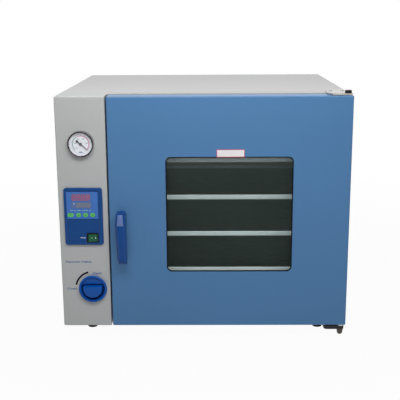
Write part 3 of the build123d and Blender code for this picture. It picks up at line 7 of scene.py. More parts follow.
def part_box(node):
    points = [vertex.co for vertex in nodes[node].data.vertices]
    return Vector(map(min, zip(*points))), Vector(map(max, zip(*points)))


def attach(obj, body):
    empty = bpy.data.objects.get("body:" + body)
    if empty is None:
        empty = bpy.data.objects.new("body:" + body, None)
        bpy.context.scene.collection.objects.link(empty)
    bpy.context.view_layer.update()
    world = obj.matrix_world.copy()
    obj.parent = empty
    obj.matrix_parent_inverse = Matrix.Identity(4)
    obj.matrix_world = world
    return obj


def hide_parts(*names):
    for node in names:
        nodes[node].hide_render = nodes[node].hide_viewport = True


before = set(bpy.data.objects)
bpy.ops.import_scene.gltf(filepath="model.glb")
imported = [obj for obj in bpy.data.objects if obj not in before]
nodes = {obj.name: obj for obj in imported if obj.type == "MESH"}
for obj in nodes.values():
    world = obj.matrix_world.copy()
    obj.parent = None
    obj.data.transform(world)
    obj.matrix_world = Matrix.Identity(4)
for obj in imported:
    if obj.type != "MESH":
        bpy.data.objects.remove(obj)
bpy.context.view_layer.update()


def middle(name):
    """Centre of a piece's box seen from the front, as (x, z)."""
    low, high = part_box(name)
    return (low[0] + high[0]) / 2, (low[2] + high[2]) / 2


def face(name):
    """Foremost y of a piece."""
    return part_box(name)[0][1]


# ---- Places from the CAD, in metres ----
FRONT = face("fascia_panel")
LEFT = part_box("fascia_panel")[0][0]
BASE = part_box("fascia_panel")[0][2]
KNOB = middle("valve_knob")
GAUGE = middle("gauge_bezel")
DIAL = face("gauge_dial")
KEYPAD = face("display_panel")
CONTROL_FLOOR = FRONT - 0.004
KEY_FACE = face("key_1")
SKIN = 0.00006  # thickness of printed marks


def linear(value):
    value = value / 255.0
    return value / 12.92 if value <= 0.04045 else ((value + 0.055) / 1.055) ** 2.4


def colour(red, green, blue):
    return (linear(red), linear(green), linear(blue), 1.0)


# ---- Materials ----
def new_material(name):
    made = bpy.data.materials.new(name)
    made.use_nodes = True
    tree = made.node_tree
    return made, tree, tree.nodes["Principled BSDF"]


def link(tree, start, end):
    tree.links.new(start, end)


def noise(tree, scale, stretch=(1, 1, 1), detail=3.0, roughness=0.5):
    place = tree.nodes.new("ShaderNodeTexCoord")
    mapping = tree.nodes.new("ShaderNodeMapping")
    mapping.inputs["Scale"].default_value = stretch
    texture = tree.nodes.new("ShaderNodeTexNoise")
    texture.inputs["Scale"].default_value = scale
    texture.inputs["Detail"].default_value = detail
    texture.inputs["Roughness"].default_value = roughness
    link(tree, place.outputs["Object"], mapping.inputs["Vector"])
    link(tree, mapping.outputs["Vector"], texture.inputs["Vector"])
    return texture.outputs["Fac"]


def ranged(tree, value, low, high, start=0.3, end=0.7):
    node = tree.nodes.new("ShaderNodeMapRange")
    node.inputs["From Min"].default_value = start
    node.inputs["From Max"].default_value = end
    node.inputs["To Min"].default_value = low
    node.inputs["To Max"].default_value = high
    link(tree, value, node.inputs["Value"])
    return node.outputs["Result"]


def blended(tree, factor, first, second):
    node = tree.nodes.new("ShaderNodeMix")
    node.data_type = "RGBA"
    link(tree, factor, node.inputs["Factor"])
    for socket, value in ((node.inputs[6], first), (node.inputs[7], second)):
        if isinstance(value, tuple):
            socket.default_value = value
        else:
            link(tree, value, socket)
    return node.outputs[2]


def scaled(base, factor):
    return tuple(min(channel * factor, 1.0) for channel in base[:3]) + (1.0,)


def bumped(tree, bsdf, layers):
    """layers: (height, strength, distance in metres)."""
    previous = None
    for height, strength, distance in layers:
        node = tree.nodes.new("ShaderNodeBump")
        node.inputs["Strength"].default_value = strength
        node.inputs["Distance"].default_value = distance
        link(tree, height, node.inputs["Height"])
        if previous is not None:
            link(tree, previous, node.inputs["Normal"])
        previous = node.outputs["Normal"]
    link(tree, previous, bsdf.inputs["Normal"])


def painted_edge_highlights(tree, base, edge, reach=0.0012, amount=0.5):
    """Painted highlight: lighter colour along convex edges."""
    bevel = tree.nodes.new("ShaderNodeBevel")
    bevel.samples = 4
    bevel.inputs["Radius"].default_value = reach
    geometry = tree.nodes.new("ShaderNodeNewGeometry")
    dot = tree.nodes.new("ShaderNodeVectorMath")
    dot.operation = "DOT_PRODUCT"
    link(tree, bevel.outputs["Normal"], dot.inputs[0])
    link(tree, geometry.outputs["Normal"], dot.inputs[1])
    factor = ranged(tree, dot.outputs["Value"], amount, 0.0, 0.86, 0.99)
    return blended(tree, factor, base, edge)


def finish(
    name,
    base,
    roughness,
    metallic=0.0,
    variation=0.05,
    cloud=6.0,
    grain=0.0,
    grain_scale=700.0,
    stretch=(1, 1, 1),
    spread=0.05,
    coat=0.0,
    specular=0.5,
    edge=None,
    dust=0.0,
):
    """One opaque finish: colour drift, roughness drift and a fine surface texture; an edge colour adds a painted
    highlight along convex edges.
    """
    made, tree, bsdf = new_material(name)
    bsdf.inputs["Metallic"].default_value = metallic
    bsdf.inputs["Specular IOR Level"].default_value = specular
    if coat:
        bsdf.inputs["Coat Weight"].default_value = coat
        bsdf.inputs["Coat Roughness"].default_value = 0.08
    drift = ranged(tree, noise(tree, cloud, detail=4.0), 0.0, 1.0)
    tint = blended(tree, drift, scaled(base, 1.0 - variation), scaled(base, 1.0 + variation))
    if dust:
        specks = ranged(tree, noise(tree, 900.0, detail=1.0), 0.0, dust, 0.66, 0.8)
        tint = blended(tree, specks, tint, scaled(base, 1.5))
    if edge:
        tint = painted_edge_highlights(tree, tint, edge)
    link(tree, tint, bsdf.inputs["Base Color"])
    fine = noise(tree, grain_scale, stretch=stretch, detail=2.0)
    link(tree, ranged(tree, fine, roughness - spread, roughness + spread), bsdf.inputs["Roughness"])
    if grain:
        bumped(tree, bsdf, [(fine, grain, 0.0001)])
    return made


def painted_lit_fronts(name, lit_lip, rest):
    """Painted light: a pale, lit-looking finish on faces that look to -Y and another on all the others."""
    made, tree, bsdf = new_material(name)
    place = tree.nodes.new("ShaderNodeTexCoord")
    parts = tree.nodes.new("ShaderNodeSeparateXYZ")
    link(tree, place.outputs["Normal"], parts.inputs["Vector"])
    # Mask of the front-facing faces, which take the painted lit finish.
    rear = ranged(tree, parts.outputs["Y"], 0.0, 1.0, -0.75, -0.45)
    drift = ranged(tree, noise(tree, 12.0, detail=4.0), 0.92, 1.05)
    tint = blended(tree, rear, lit_lip[0], rest[0])
    shade = tree.nodes.new("ShaderNodeVectorMath")
    shade.operation = "SCALE"
    link(tree, tint, shade.inputs[0])
    link(tree, drift, shade.inputs["Scale"])
    link(tree, shade.outputs["Vector"], bsdf.inputs["Base Color"])
    fine = noise(tree, 900.0, stretch=BRUSH, detail=2.0)
    worn = ranged(tree, fine, -0.06, 0.06)
    for socket, position in (("Roughness", 1), ("Metallic", 2)):
        level = ranged(tree, rear, lit_lip[position], rest[position], 0.0, 1.0)
        if socket == "Roughness":
            total = tree.nodes.new("ShaderNodeMath")
            link(tree, level, total.inputs[0])
            link(tree, worn, total.inputs[1])
            level = total.outputs["Value"]
        link(tree, level, bsdf.inputs[socket])
    bumped(tree, bsdf, [(fine, 0.2, 0.0001)])
    return made


def clear(name, tint, alpha, roughness=0.03):
    made, tree, bsdf = new_material(name)
    smears = ranged(tree, noise(tree, 9.0, detail=5.0, roughness=0.65), alpha * 0.85, alpha * 1.2)
    link(tree, smears, bsdf.inputs["Alpha"])
    link(tree, ranged(tree, noise(tree, 40.0), roughness * 0.6, roughness * 1.6), bsdf.inputs["Roughness"])
    drift = ranged(tree, noise(tree, 3.0), 0.0, 1.0)
    link(tree, blended(tree, drift, scaled(tint, 0.9), scaled(tint, 1.1)), bsdf.inputs["Base Color"])
    bsdf.inputs["IOR"].default_value = 1.5
    return made


def glowing(name, base, strength):
    made, tree, bsdf = new_material(name)
    ripple = ranged(tree, noise(tree, 800.0), 0.0, 1.0)
    tint = blended(tree, ripple, scaled(base, 0.85), scaled(base, 1.1))
    link(tree, tint, bsdf.inputs["Base Color"])
    link(tree, tint, bsdf.inputs["Emission Color"])
    bsdf.inputs["Emission Strength"].default_value = strength
    bsdf.inputs["Roughness"].default_value = 0.35
    return made


PEEL = {"grain": 0.12, "grain_scale": 650.0, "cloud": 3.0, "variation": 0.02}
BRUSH = (0.03, 1, 1)
GREY = colour(184, 186, 186)
BLUE = colour(78, 125, 172)

# The edge colours below paint a highlight along convex edges.
grey_paint = finish("grey_paint", GREY, 0.42, edge=scaled(GREY, 1.12), **PEEL)
cover_paint = finish("cover_paint", colour(190, 190, 191), 0.45, edge=scaled(GREY, 1.12), **PEEL)
frame_paint = finish("frame_paint", colour(184, 180, 172), 0.42, **PEEL)
blue_paint = finish("blue_paint", BLUE, 0.34, specular=0.3, edge=scaled(BLUE, 1.35), **PEEL)
steel = finish("steel", colour(150, 152, 150), 0.32, 1.0, 0.06, 8.0, 0.25, 900.0, BRUSH, 0.08)
liner = finish("liner", colour(252, 254, 240), 0.5, 0.0, 0.10, 5.0, 0.25, 700.0, BRUSH, 0.08)
# Painted light: the shelves' front lips get a near-white copy of the metal, standing for the light they catch.
shelf_metal = painted_lit_fronts("shelf_metal", (colour(236, 255, 255), 0.45, 0.0), (colour(132, 138, 132), 0.3, 1.0))
zinc = finish("zinc", colour(196, 192, 190), 0.26, 1.0, 0.08, 60.0, 0.12, 900.0, (1, 1, 1), 0.08)
dark_steel = finish(
    "dark_steel", colour(44, 43, 45), 0.38, 0.7, 0.15, 80.0, 0.15, 800.0, edge=colour(120, 118, 116),
)
bolt_black = finish(
    "bolt_black", colour(30, 27, 28), 0.3, 0.8, 0.15, 90.0, 0.1, 900.0, edge=colour(150, 148, 146),
)
bolt_steel = finish("bolt_steel", colour(78, 74, 70), 0.3, 1.0, 0.12, 90.0, 0.1, 900.0, (1, 1, 0.05))
chrome = finish("chrome", colour(150, 148, 152), 0.10, 1.0, 0.02, 40.0, 0.0, 500.0, spread=0.02)
# Painted shade: a darker copy of the chrome for the ring's inner bevel.
chrome_painted_dark = finish("chrome_painted_dark", colour(52, 48, 54), 0.22, 0.9, 0.05, 40.0, 0.0, 500.0, spread=0.04)
brass = finish("brass", colour(190, 160, 90), 0.3, 1.0, 0.08, 50.0, 0.1, 900.0)
rubber = finish("rubber", colour(14, 13, 13), 0.7, 0.0, 0.15, 60.0, 0.25, 1200.0, specular=0.15, dust=0.15)
gasket_rubber = finish("gasket_rubber", colour(12, 12, 13), 0.6, 0.0, 0.15, 60.0, 0.2, 1200.0, specular=0.15)
silicone = finish("silicone", colour(205, 200, 190), 0.5, 0.0, 0.05, 30.0, 0.1, 900.0)
heater_skin = finish("heater_skin", colour(150, 70, 40), 0.6, 0.0, 0.08, 60.0, 0.2, 500.0, (1, 0.1, 1))
fibre = finish("fibre", colour(215, 210, 198), 0.95, 0.0, 0.12, 90.0, 0.6, 300.0, (1, 1, 0.3))
bezel_blue = finish(
    "bezel_blue", colour(14, 70, 134), 0.30, 0.0, 0.04, 25.0, 0.10, 1400.0,
    edge=colour(84, 118, 180), specular=0.2,
)
knob_blue = finish(
    "knob_blue", colour(10, 84, 172), 0.24, 0.0, 0.05, 25.0, 0.04, 1200.0, coat=0.1, specular=0.15,
)
# Painted shade: a dark navy copy of the knob's blue for the groove round its grip.
knob_painted_shade = finish("knob_painted_shade", colour(0, 26, 78), 0.5, 0.0, 0.05, 25.0, 0.04, 1200.0, specular=0.1)
lever_blue = finish(
    "lever_blue", colour(12, 68, 136), 0.28, 0.0, 0.05, 25.0, 0.10, 1300.0,
    edge=colour(120, 150, 215), specular=0.2,
)
# Painted light: a paler copy of the lever's blue for the front facet that catches the light.
lever_lit_facet = finish(
    "lever_lit_facet", colour(92, 118, 172), 0.3, 0.0, 0.05, 25.0, 0.08, 1300.0, edge=colour(140, 160, 215),
)
keypad_blue = finish("keypad_blue", colour(70, 118, 194), 0.36, 0.0, 0.05, 40.0, 0.06, 1500.0, specular=0.25)
black_plastic = finish("black_plastic", colour(16, 16, 19), 0.4, 0.0, 0.1, 50.0, 0.2, 1500.0, specular=0.2)
switch_green = finish("switch_green", colour(0, 88, 54), 0.26, 0.0, 0.12, 120.0, 0.05, 900.0, specular=0.3)
key_green = finish("key_green", colour(96, 196, 100), 0.42, 0.0, 0.06, 200.0, 0.1, 1500.0)
dial_white = finish("dial_white", colour(240, 243, 250), 0.5, 0.0, 0.02, 50.0, 0.05, 1200.0)
ink_black = finish("ink_black", colour(16, 12, 30), 0.5, 0.0, 0.1, 200.0, specular=0.1)
ink_blue = finish("ink_blue", colour(62, 104, 156), 0.5, 0.0, 0.08, 200.0, specular=0.1)
ink_white = finish("ink_white", colour(225, 232, 245), 0.5, 0.0, 0.05, 200.0)
# Painted shade: a dimmer, greener copy of the white ink for the rocker's O.
ink_white_dimmed = finish("ink_white_dimmed", colour(128, 172, 148), 0.5, 0.0, 0.05, 200.0, specular=0.1)
ink_green = finish("ink_green", colour(88, 142, 128), 0.5, 0.0, 0.1, 200.0, specular=0.1)
ink_pink = finish("ink_pink", colour(190, 84, 130), 0.5, 0.0, 0.1, 200.0, specular=0.1)
label_white = finish("label_white", colour(236, 232, 234), 0.4, 0.0, 0.03, 60.0, 0.05, 900.0)
window_ink = finish("window_ink", colour(84, 108, 158), 0.25, 0.0, 0.08, 60.0)
window_glass = clear("window_glass", colour(96, 118, 112), 0.045)
lens_glass = clear("lens_glass", colour(210, 220, 225), 0.02)
red_light = glowing("red_light", colour(170, 72, 98), 0.10)
amber_light = glowing("amber_light", colour(128, 128, 116), 0.10)
# Painted glow: the printed panel words shine faintly though they are only print.
marks_painted_glow = glowing("marks_painted_glow", colour(150, 200, 170), 0.25)

finishes = {
    grey_paint: ("base_pan", "rear_panel", "fascia_panel", "partition_panel"),
    cover_paint: ("cabinet_cover",),
    frame_paint: ("front_frame",),
    blue_paint: ("door_skin", "door_inner_pan"),
    steel: (
        "strike_plate",
        "shelf_rack_left",
        "shelf_rack_right",
        "temperature_probe",
        "window_frame",
        "glass_clips",
    ),
    liner: ("chamber_liner",),
    shelf_metal: ("shelf_1", "shelf_2", "shelf_3", "shelf_4"),
    zinc: (
        "screws",
        "upper_hinge_plate",
        "hinge_bushes",
        "handle_spindle",
        "latch_tongue",
        "thrust_washer",
        "gauge_tube",
        "vacuum_inlet_tube",
        "vacuum_outlet_tube",
        "vacuum_nozzle",
        "valve_stem",
        "gauge_case",
    ),
    dark_steel: ("lower_hinge_bracket",),
    bolt_black: ("upper_pivot_bolt",),
    bolt_steel: ("lower_pivot_bolt",),
    chrome: ("gauge_bezel",),
    brass: ("valve_body",),
    rubber: ("feet",),
    gasket_rubber: ("window_gasket",),
    silicone: ("door_seal",),
    heater_skin: ("heater_pads",),
    fibre: ("insulation",),
    bezel_blue: ("controller_bezel",),
    knob_blue: ("valve_knob",),
    lever_blue: ("handle_lever", "handle_bush"),
    keypad_blue: ("display_panel",),
    black_plastic: ("controller_case", "rocker_housing", "cable_gland"),
    switch_green: ("rocker",),
    key_green: ("key_1", "key_2", "key_3", "key_4"),
    dial_white: ("gauge_dial",),
    ink_black: ("gauge_needle",),
    window_glass: ("outer_window", "inner_glass"),
    lens_glass: ("gauge_lens",),
}
for made, names in finishes.items():
    for name in names:
        piece = nodes[name]
        piece.data.materials.clear()
        piece.data.materials.append(made)


# ---- Pieces ----
def add(name, mesh_or_curve, made, body):
    piece = bpy.data.objects.new(name, mesh_or_curve)
    bpy.context.scene.collection.objects.link(piece)
    piece.data.materials.append(made)
    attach(piece, body)
    return piece


def mesh_from(name, work):
    """Mesh of a finished bmesh, which is freed."""
    bmesh.ops.recalc_face_normals(work, faces=work.faces)
    mesh = bpy.data.meshes.new(name)
    work.to_mesh(mesh)
    work.free()
    return mesh


def shape_from(name, work):
    """Loose object of a finished bmesh, to be cut and joined."""
    shape = bpy.data.objects.new(name, mesh_from(name, work))
    bpy.context.scene.collection.objects.link(shape)
    return shape


def plates(name, outlines, y, made, body, thickness=SKIN):
    """Thin raised shapes on a face that looks to -Y: each outline is a list of (x, z)."""
    work = bmesh.new()
    for outline in outlines:
        front = [work.verts.new((x, y - thickness, z)) for x, z in outline]
        back = [work.verts.new((x, y, z)) for x, z in outline]
        work.faces.new(front)
        work.faces.new(list(reversed(back)))
        for i in range(len(outline)):
            j = (i + 1) % len(outline)
            work.faces.new((front[j], front[i], back[i], back[j]))
    return add(name, mesh_from(name, work), made, body)


def printed_on(name, outlines, base, made, body):
    """Marks that follow the curved front of a piece: each point is set on it from the front."""
    piece = plates(name, outlines, 0.0, made, body)
    ground = nodes[base]
    inverse = ground.matrix_world.inverted()
    for vertex in piece.data.vertices:
        start = inverse @ Vector((vertex.co.x, -1.0, vertex.co.z))
        place = ground.ray_cast(start, inverse.to_3x3() @ Vector((0, 1, 0)))[1]
        vertex.co.y += (ground.matrix_world @ place).y
    return piece


def words(name, text, x, y, z, height, made, body, angle=0.0, width=None):
    """Printed lettering centred on (x, z); height is that of a capital, width squeezes to fit."""
    curve = bpy.data.curves.new(name, "FONT")
    curve.body = text
    curve.size = height / 0.7
    curve.align_x = "CENTER"
    curve.align_y = "CENTER"
    curve.extrude = SKIN / 2
    curve.offset = 0.035 * height
    curve.resolution_u = 3
    piece = bpy.data.objects.new(name, curve)
    bpy.context.scene.collection.objects.link(piece)
    bpy.context.view_layer.update()
    stretch = width / piece.dimensions.x if width else 1.0
    turn = Matrix.Rotation(math.radians(angle), 4, "Z")
    stand = Matrix.Rotation(math.radians(90), 4, "X")
    size = Matrix.Diagonal((stretch, 1, 1, 1))
    piece.matrix_world = Matrix.Translation((x, y - SKIN / 2, z)) @ stand @ turn @ size
    piece.data.materials.append(made)
    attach(piece, body)
    return piece


def ring_part(centre, radius, width, start, end, steps=24):
    """Outline of an arc band between two angles in degrees, from +X towards +Z."""
    angles = [math.radians(start + (end - start) * i / steps) for i in range(steps + 1)]
    outer, inner = (
        [(centre[0] + reach * math.cos(a), centre[1] + reach * math.sin(a)) for a in angles]
        for reach in (radius + width / 2, radius - width / 2)
    )
    return outer + inner[::-1]


def tick(centre, angle, start, end, width):
    along = Vector((math.cos(math.radians(angle)), math.sin(math.radians(angle))))
    across = Vector((-along.y, along.x)) * width / 2
    inner, outer = Vector(centre) + along * start, Vector(centre) + along * end
    corners = (inner + across, outer + across, outer - across, inner - across)
    return [(corner.x, corner.y) for corner in corners]


def rounded(x, z, width, height, radius, steps=5):
    points = []
    for corner_x, corner_z, start in ((1, 1, 0), (-1, 1, 90), (-1, -1, 180), (1, -1, 270)):
        for i in range(steps + 1):
            a = math.radians(start + 90 * i / steps)
            points.append(
                (
                    x + corner_x * (width / 2 - radius) + radius * math.cos(a),
                    z + corner_z * (height / 2 - radius) + radius * math.sin(a),
                )
            )
    return points


# ---- Moulded pieces that stand for plainer solids ----
def millimetres(*values):
    return Vector([value / 1000.0 for value in values])


def bulged(start, end, height, steps=6):
    """Points from start to end in a plane, bowed out to the left of the way by height."""
    start, end = Vector(start), Vector(end)
    along = (end - start).normalized()
    aside = Vector((-along.y, along.x))
    parts = [i / steps for i in range(steps + 1)]
    return [tuple(start.lerp(end, p) + aside * 4 * height * p * (1 - p)) for p in parts]


def loft(name, first, last):
    """Closed shape between two outlines with as many points each."""
    work = bmesh.new()
    low = [work.verts.new(point) for point in first]
    high = [work.verts.new(point) for point in last]
    work.faces.new(low)
    work.faces.new(list(reversed(high)))
    for i in range(len(low)):
        j = (i + 1) % len(low)
        work.faces.new((low[j], low[i], high[i], high[j]))
    return shape_from(name, work)


def turned(name, profile, centre, steps=128):
    """Closed turned shape about an axis along Y; profile is a closed list of (y, radius)."""
    work = bmesh.new()
    rings = []
    for y, radius in profile:
        if radius == 0:
            rings.append([work.verts.new(millimetres(centre[0], y, centre[1]))] * steps)
            continue
        angles = [2 * math.pi * i / steps for i in range(steps)]
        rings.append(
            [
                work.verts.new(
                    millimetres(centre[0] + radius * math.cos(a), y, centre[1] + radius * math.sin(a))
                )
                for a in angles
            ]
        )
    for ring, following in zip(rings, rings[1:] + rings[:1]):
        for i in range(steps):
            j = (i + 1) % steps
            corners = []
            for vertex in (ring[i], ring[j], following[j], following[i]):
                if vertex not in corners:
                    corners.append(vertex)
            if len(corners) > 2:
                work.faces.new(corners)
    return shape_from(name, work)


def moulded(name, base, steps, rounding, made, body, replaced):
    """Cut and join shapes, soften the edges and put the result in a node's place."""
    for shape, operation in steps:
        cut = base.modifiers.new("step", "BOOLEAN")
        cut.operation = operation
        cut.solver = "EXACT"
        cut.object = shape
    soften = base.modifiers.new("soften", "BEVEL")
    soften.width = rounding / 1000.0
    soften.segments = 3
    soften.limit_method = "ANGLE"
    soften.angle_limit = math.radians(28)
    bpy.context.view_layer.update()
    mesh = bpy.data.meshes.new_from_object(base.evaluated_get(bpy.context.evaluated_depsgraph_get()))
    mesh.name = name
    mesh.materials.clear()
    for polygon in mesh.polygons:
        polygon.use_smooth = True
    mesh.set_sharp_from_angle(angle=math.radians(35))
    for shape in [base] + [shape for shape, _ in steps]:
        bpy.data.objects.remove(shape)
    piece = add(name, mesh, made, body)
    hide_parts(replaced)
    return piece


def from_axis(polygon, centre):
    """Distance in millimetres of a face's middle from an axis along Y."""
    return Vector((polygon.center.x * 1000.0 - centre[0], polygon.center.z * 1000.0 - centre[1])).length


# Knob: a dished disc with a D-shaped grip and a groove round the grip's lower side.
FRONT_MM = FRONT * 1000.0
KNOB_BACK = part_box("valve_knob")[1][1] * 1000.0
KNOB_FACE = KNOB_BACK - 9.0
KNOB_MM = (KNOB[0] * 1000.0, KNOB[1] * 1000.0 + 0.6)
KNOB_RADIUS, KNOB_BACK_RADIUS, KNOB_RIM = 32.0, 28.5, 4.0
DISH_RADIUS, DISH_DEPTH, GROOVE_DEPTH = 25.5, 4.0, 3.0
GRIP_TOP, GRIP_HALF, GRIP_DROP, GRIP_PROUD = 7.8, 21.5, 19.5, 5.0
GROOVE_TOP = GRIP_TOP + 3.0


def knob_outline(points, y, scale=1.0):
    return [millimetres(KNOB_MM[0] + x * scale, y, KNOB_MM[1] + z * scale) for x, z in points]


def circle_part(middle_z, radius, start, end, steps):
    angles = [math.radians(start + (end - start) * i / steps) for i in range(steps + 1)]
    return [(radius * math.cos(a), middle_z + radius * math.sin(a)) for a in angles]


disc = turned(
    "knob_disc",
    [
        (KNOB_BACK, 0),
        (KNOB_BACK, KNOB_BACK_RADIUS),
        (KNOB_FACE + 3.0, KNOB_RADIUS),
        (KNOB_FACE + 1.0, KNOB_RADIUS - 0.4),
        (KNOB_FACE, KNOB_RADIUS - 1.6),
        (KNOB_FACE, KNOB_RADIUS - KNOB_RIM),
        (KNOB_FACE + DISH_DEPTH, DISH_RADIUS),
        (KNOB_FACE + DISH_DEPTH, 0),
    ],
    KNOB_MM,
)
chord = math.degrees(math.asin(GROOVE_TOP / DISH_RADIUS))
segment = circle_part(0.0, DISH_RADIUS, chord, -180.0 - chord, 64)
groove = loft(
    "knob_groove",
    knob_outline(segment, KNOB_FACE + DISH_DEPTH + GROOVE_DEPTH),
    knob_outline(segment, KNOB_FACE - 1.0),
)
middle_z = (GRIP_HALF**2 + GRIP_TOP**2 - GRIP_DROP**2) / (2 * (GRIP_TOP + GRIP_DROP))
grip_radius = middle_z + GRIP_DROP
corner = math.degrees(math.asin((GRIP_TOP - 1.6 - middle_z) / grip_radius))
lower_side = circle_part(middle_z, grip_radius, corner, -180.0 - corner, 64)
grip_outline = [(GRIP_HALF - 2.6, GRIP_TOP)] + lower_side + [(2.6 - GRIP_HALF, GRIP_TOP)]
grip = loft(
    "knob_grip",
    knob_outline(grip_outline, KNOB_FACE + DISH_DEPTH + GROOVE_DEPTH + 0.5),
    knob_outline(grip_outline, KNOB_FACE - GRIP_PROUD, 0.95),
)
knob = moulded("knob", disc, ((groove, "DIFFERENCE"), (grip, "UNION")), 0.7, knob_blue, "valve", "valve_knob")
# Painted shade: faces deeper than the dish floor, in the groove round the grip, take the dark copy.
knob.data.materials.append(knob_painted_shade)
for polygon in knob.data.polygons:
    deep = polygon.center.y * 1000.0 > KNOB_FACE + DISH_DEPTH + 0.3
    if deep and from_axis(polygon, KNOB_MM) < DISH_RADIUS + 0.2:
        polygon.material_index = 1

# Lever: a side profile cut to its outlines from the front and from above, with bevelled front edges.
rest_low, rest_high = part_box("handle_lever")
LEVER_X = (rest_low[0] + rest_high[0]) * 500.0 - 1.0
LEVER_BACK = rest_high[1] * 1000.0
AXIS_Z = rest_high[2] * 1000.0 - 12.5
GRIP_FRONT = rest_low[1] * 1000.0
GRIP_BACK = GRIP_FRONT + 17.0
TIP, CROWN, SLOPE_LOW = AXIS_Z - 108.4, AXIS_Z + 10.0, AXIS_Z - 15.4
LEVER_HALF, TOP_HALF, END_HALF, NECK_HALF, LEAN, BEVEL = 11.6, 9.3, 8.5, 6.2, 3.5, 4.5

side = (
    [
        (GRIP_BACK + 1.0, TIP + 14.0),
        (GRIP_BACK - 0.5, SLOPE_LOW - 16.0),
        (GRIP_BACK + 4.0, SLOPE_LOW - 4.0),
        (GRIP_BACK + 8.0, SLOPE_LOW + 2.0),
        (LEVER_BACK, SLOPE_LOW + 3.5),
        (LEVER_BACK, CROWN),
        (GRIP_FRONT + 3.0, CROWN - 1.2),
        (GRIP_FRONT, SLOPE_LOW),
    ]
    + bulged((GRIP_FRONT + 2.0, TIP + 17.0), (GRIP_BACK - 5.0, TIP), -1.7)
    + bulged((GRIP_BACK - 5.0, TIP), (GRIP_BACK + 1.0, TIP + 14.0), -4.0)[1:-1]
)
profile = loft(
    "lever_side",
    [millimetres(LEVER_X - 30.0, y, z) for y, z in side],
    [millimetres(LEVER_X + 30.0, y, z) for y, z in side],
)
front = [
    (LEAN - END_HALF, TIP + 2.0),
    (0.55 * LEAN - LEVER_HALF + 1.0, TIP + 17.0),
    (-LEVER_HALF, SLOPE_LOW),
    (-TOP_HALF, CROWN + 2.0),
    (TOP_HALF, CROWN + 2.0),
    (LEVER_HALF, SLOPE_LOW),
    (0.55 * LEAN + LEVER_HALF - 1.0, TIP + 17.0),
] + bulged((LEAN + END_HALF, TIP + 2.0), (LEAN - END_HALF, TIP + 2.0), -2.5)[:-1]
outline = loft(
    "lever_front",
    [millimetres(LEVER_X + x, LEVER_BACK + 5.0, z) for x, z in front],
    [millimetres(LEVER_X + x, GRIP_FRONT - 5.0, z) for x, z in front],
)
plan = [
    (-NECK_HALF, LEVER_BACK + 2.0),
    (NECK_HALF, LEVER_BACK + 2.0),
    (LEVER_HALF + LEAN, GRIP_BACK),
    (LEVER_HALF + LEAN, GRIP_FRONT - 2.0),
    (-LEVER_HALF - LEAN, GRIP_FRONT - 2.0),
    (-LEVER_HALF - LEAN, GRIP_BACK),
]
above = loft(
    "lever_plan",
    [millimetres(LEVER_X + x, y, TIP - 5.0) for x, y in plan],
    [millimetres(LEVER_X + x, y, CROWN + 5.0) for x, y in plan],
)
steps = [(outline, "INTERSECT"), (above, "INTERSECT")]
for sign in (-1, 1):
    crown_corner = (sign * TOP_HALF, GRIP_FRONT + 3.3, CROWN + 1.0)
    bend_corner = (sign * LEVER_HALF, GRIP_FRONT, SLOPE_LOW)
    tip_corner = (0.55 * LEAN + sign * (LEVER_HALF - 1.0), GRIP_FRONT + 2.0, TIP + 17.0)
    end_corner = (LEAN + sign * END_HALF, GRIP_FRONT + 6.0, TIP - 2.0)
    edges = ((crown_corner, bend_corner), (bend_corner, tip_corner), (tip_corner, end_corner))
    for number, (start, end) in enumerate(edges):
        wedge = []
        for x, y, z in (start, end):
            wedge.append(
                [
                    millimetres(LEVER_X + x - sign * BEVEL, y, z),
                    millimetres(LEVER_X + x, y + BEVEL, z),
                    millimetres(LEVER_X + x + sign * 4.0, y - 4.0, z),
                ]
            )
        steps.append((loft("lever_bevel_%d_%d" % (sign + 1, number), *wedge), "DIFFERENCE"))
lever = moulded("lever", profile, steps, 0.8, lever_blue, "handle", "handle_lever")
# Painted light: the facet above the grip takes the paler copy.
lever.data.materials.append(lever_lit_facet)
for polygon in lever.data.polygons:
    if polygon.normal.y < -0.95 and polygon.center.z * 1000.0 > SLOPE_LOW + 0.5:
        polygon.material_index = 1

# Rose and bearing of the handle.
BORE = 6.2
rose = turned(
    "rose",
    [
        (LEVER_BACK + 0.3, BORE),
        (LEVER_BACK + 0.3, 8.5),
        (LEVER_BACK + 1.3, 9.5),
        (FRONT_MM, 9.5),
        (FRONT_MM, 8.0),
        (FRONT_MM + 12.0, 8.0),
        (FRONT_MM + 12.0, BORE),
    ],
    (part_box("handle_bush")[0][0] * 500.0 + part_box("handle_bush")[1][0] * 500.0, AXIS_Z),
)
moulded("handle_rose", rose, (), 0.3, lever_blue, "door", "handle_bush")

# Gauge ring: a bright outer edge and a dark bevel down to the glass; the bevel's dark is painted shade, a darker
# copy of the chrome.
GAUGE_MM = (GAUGE[0] * 1000.0, GAUGE[1] * 1000.0)
RING_FRONT = FRONT_MM - 12.0
RING_INSIDE, RING_OUTSIDE = 28.2, 29.3  # radii
ring = turned(
    "gauge_ring_shape",
    [
        (FRONT_MM, RING_INSIDE),
        (FRONT_MM, RING_OUTSIDE),
        (RING_FRONT + 2.5, RING_OUTSIDE),
        (RING_FRONT + 0.8, 28.9),
        (RING_FRONT, 28.0),
        (RING_FRONT + 0.4, 26.9),
        (RING_FRONT + 1.5, 25.4),
        (RING_FRONT + 1.5, RING_INSIDE),
    ],
    GAUGE_MM,
)
ring = moulded("gauge_ring", ring, (), 0.15, chrome, "cabinet", "gauge_bezel")
ring.data.materials.append(chrome_painted_dark)
# Painted shade: faces inside the ring take the darker chrome.
for polygon in ring.data.polygons:
    if from_axis(polygon, GAUGE_MM) < RING_INSIDE - 0.1:
        polygon.material_index = 1

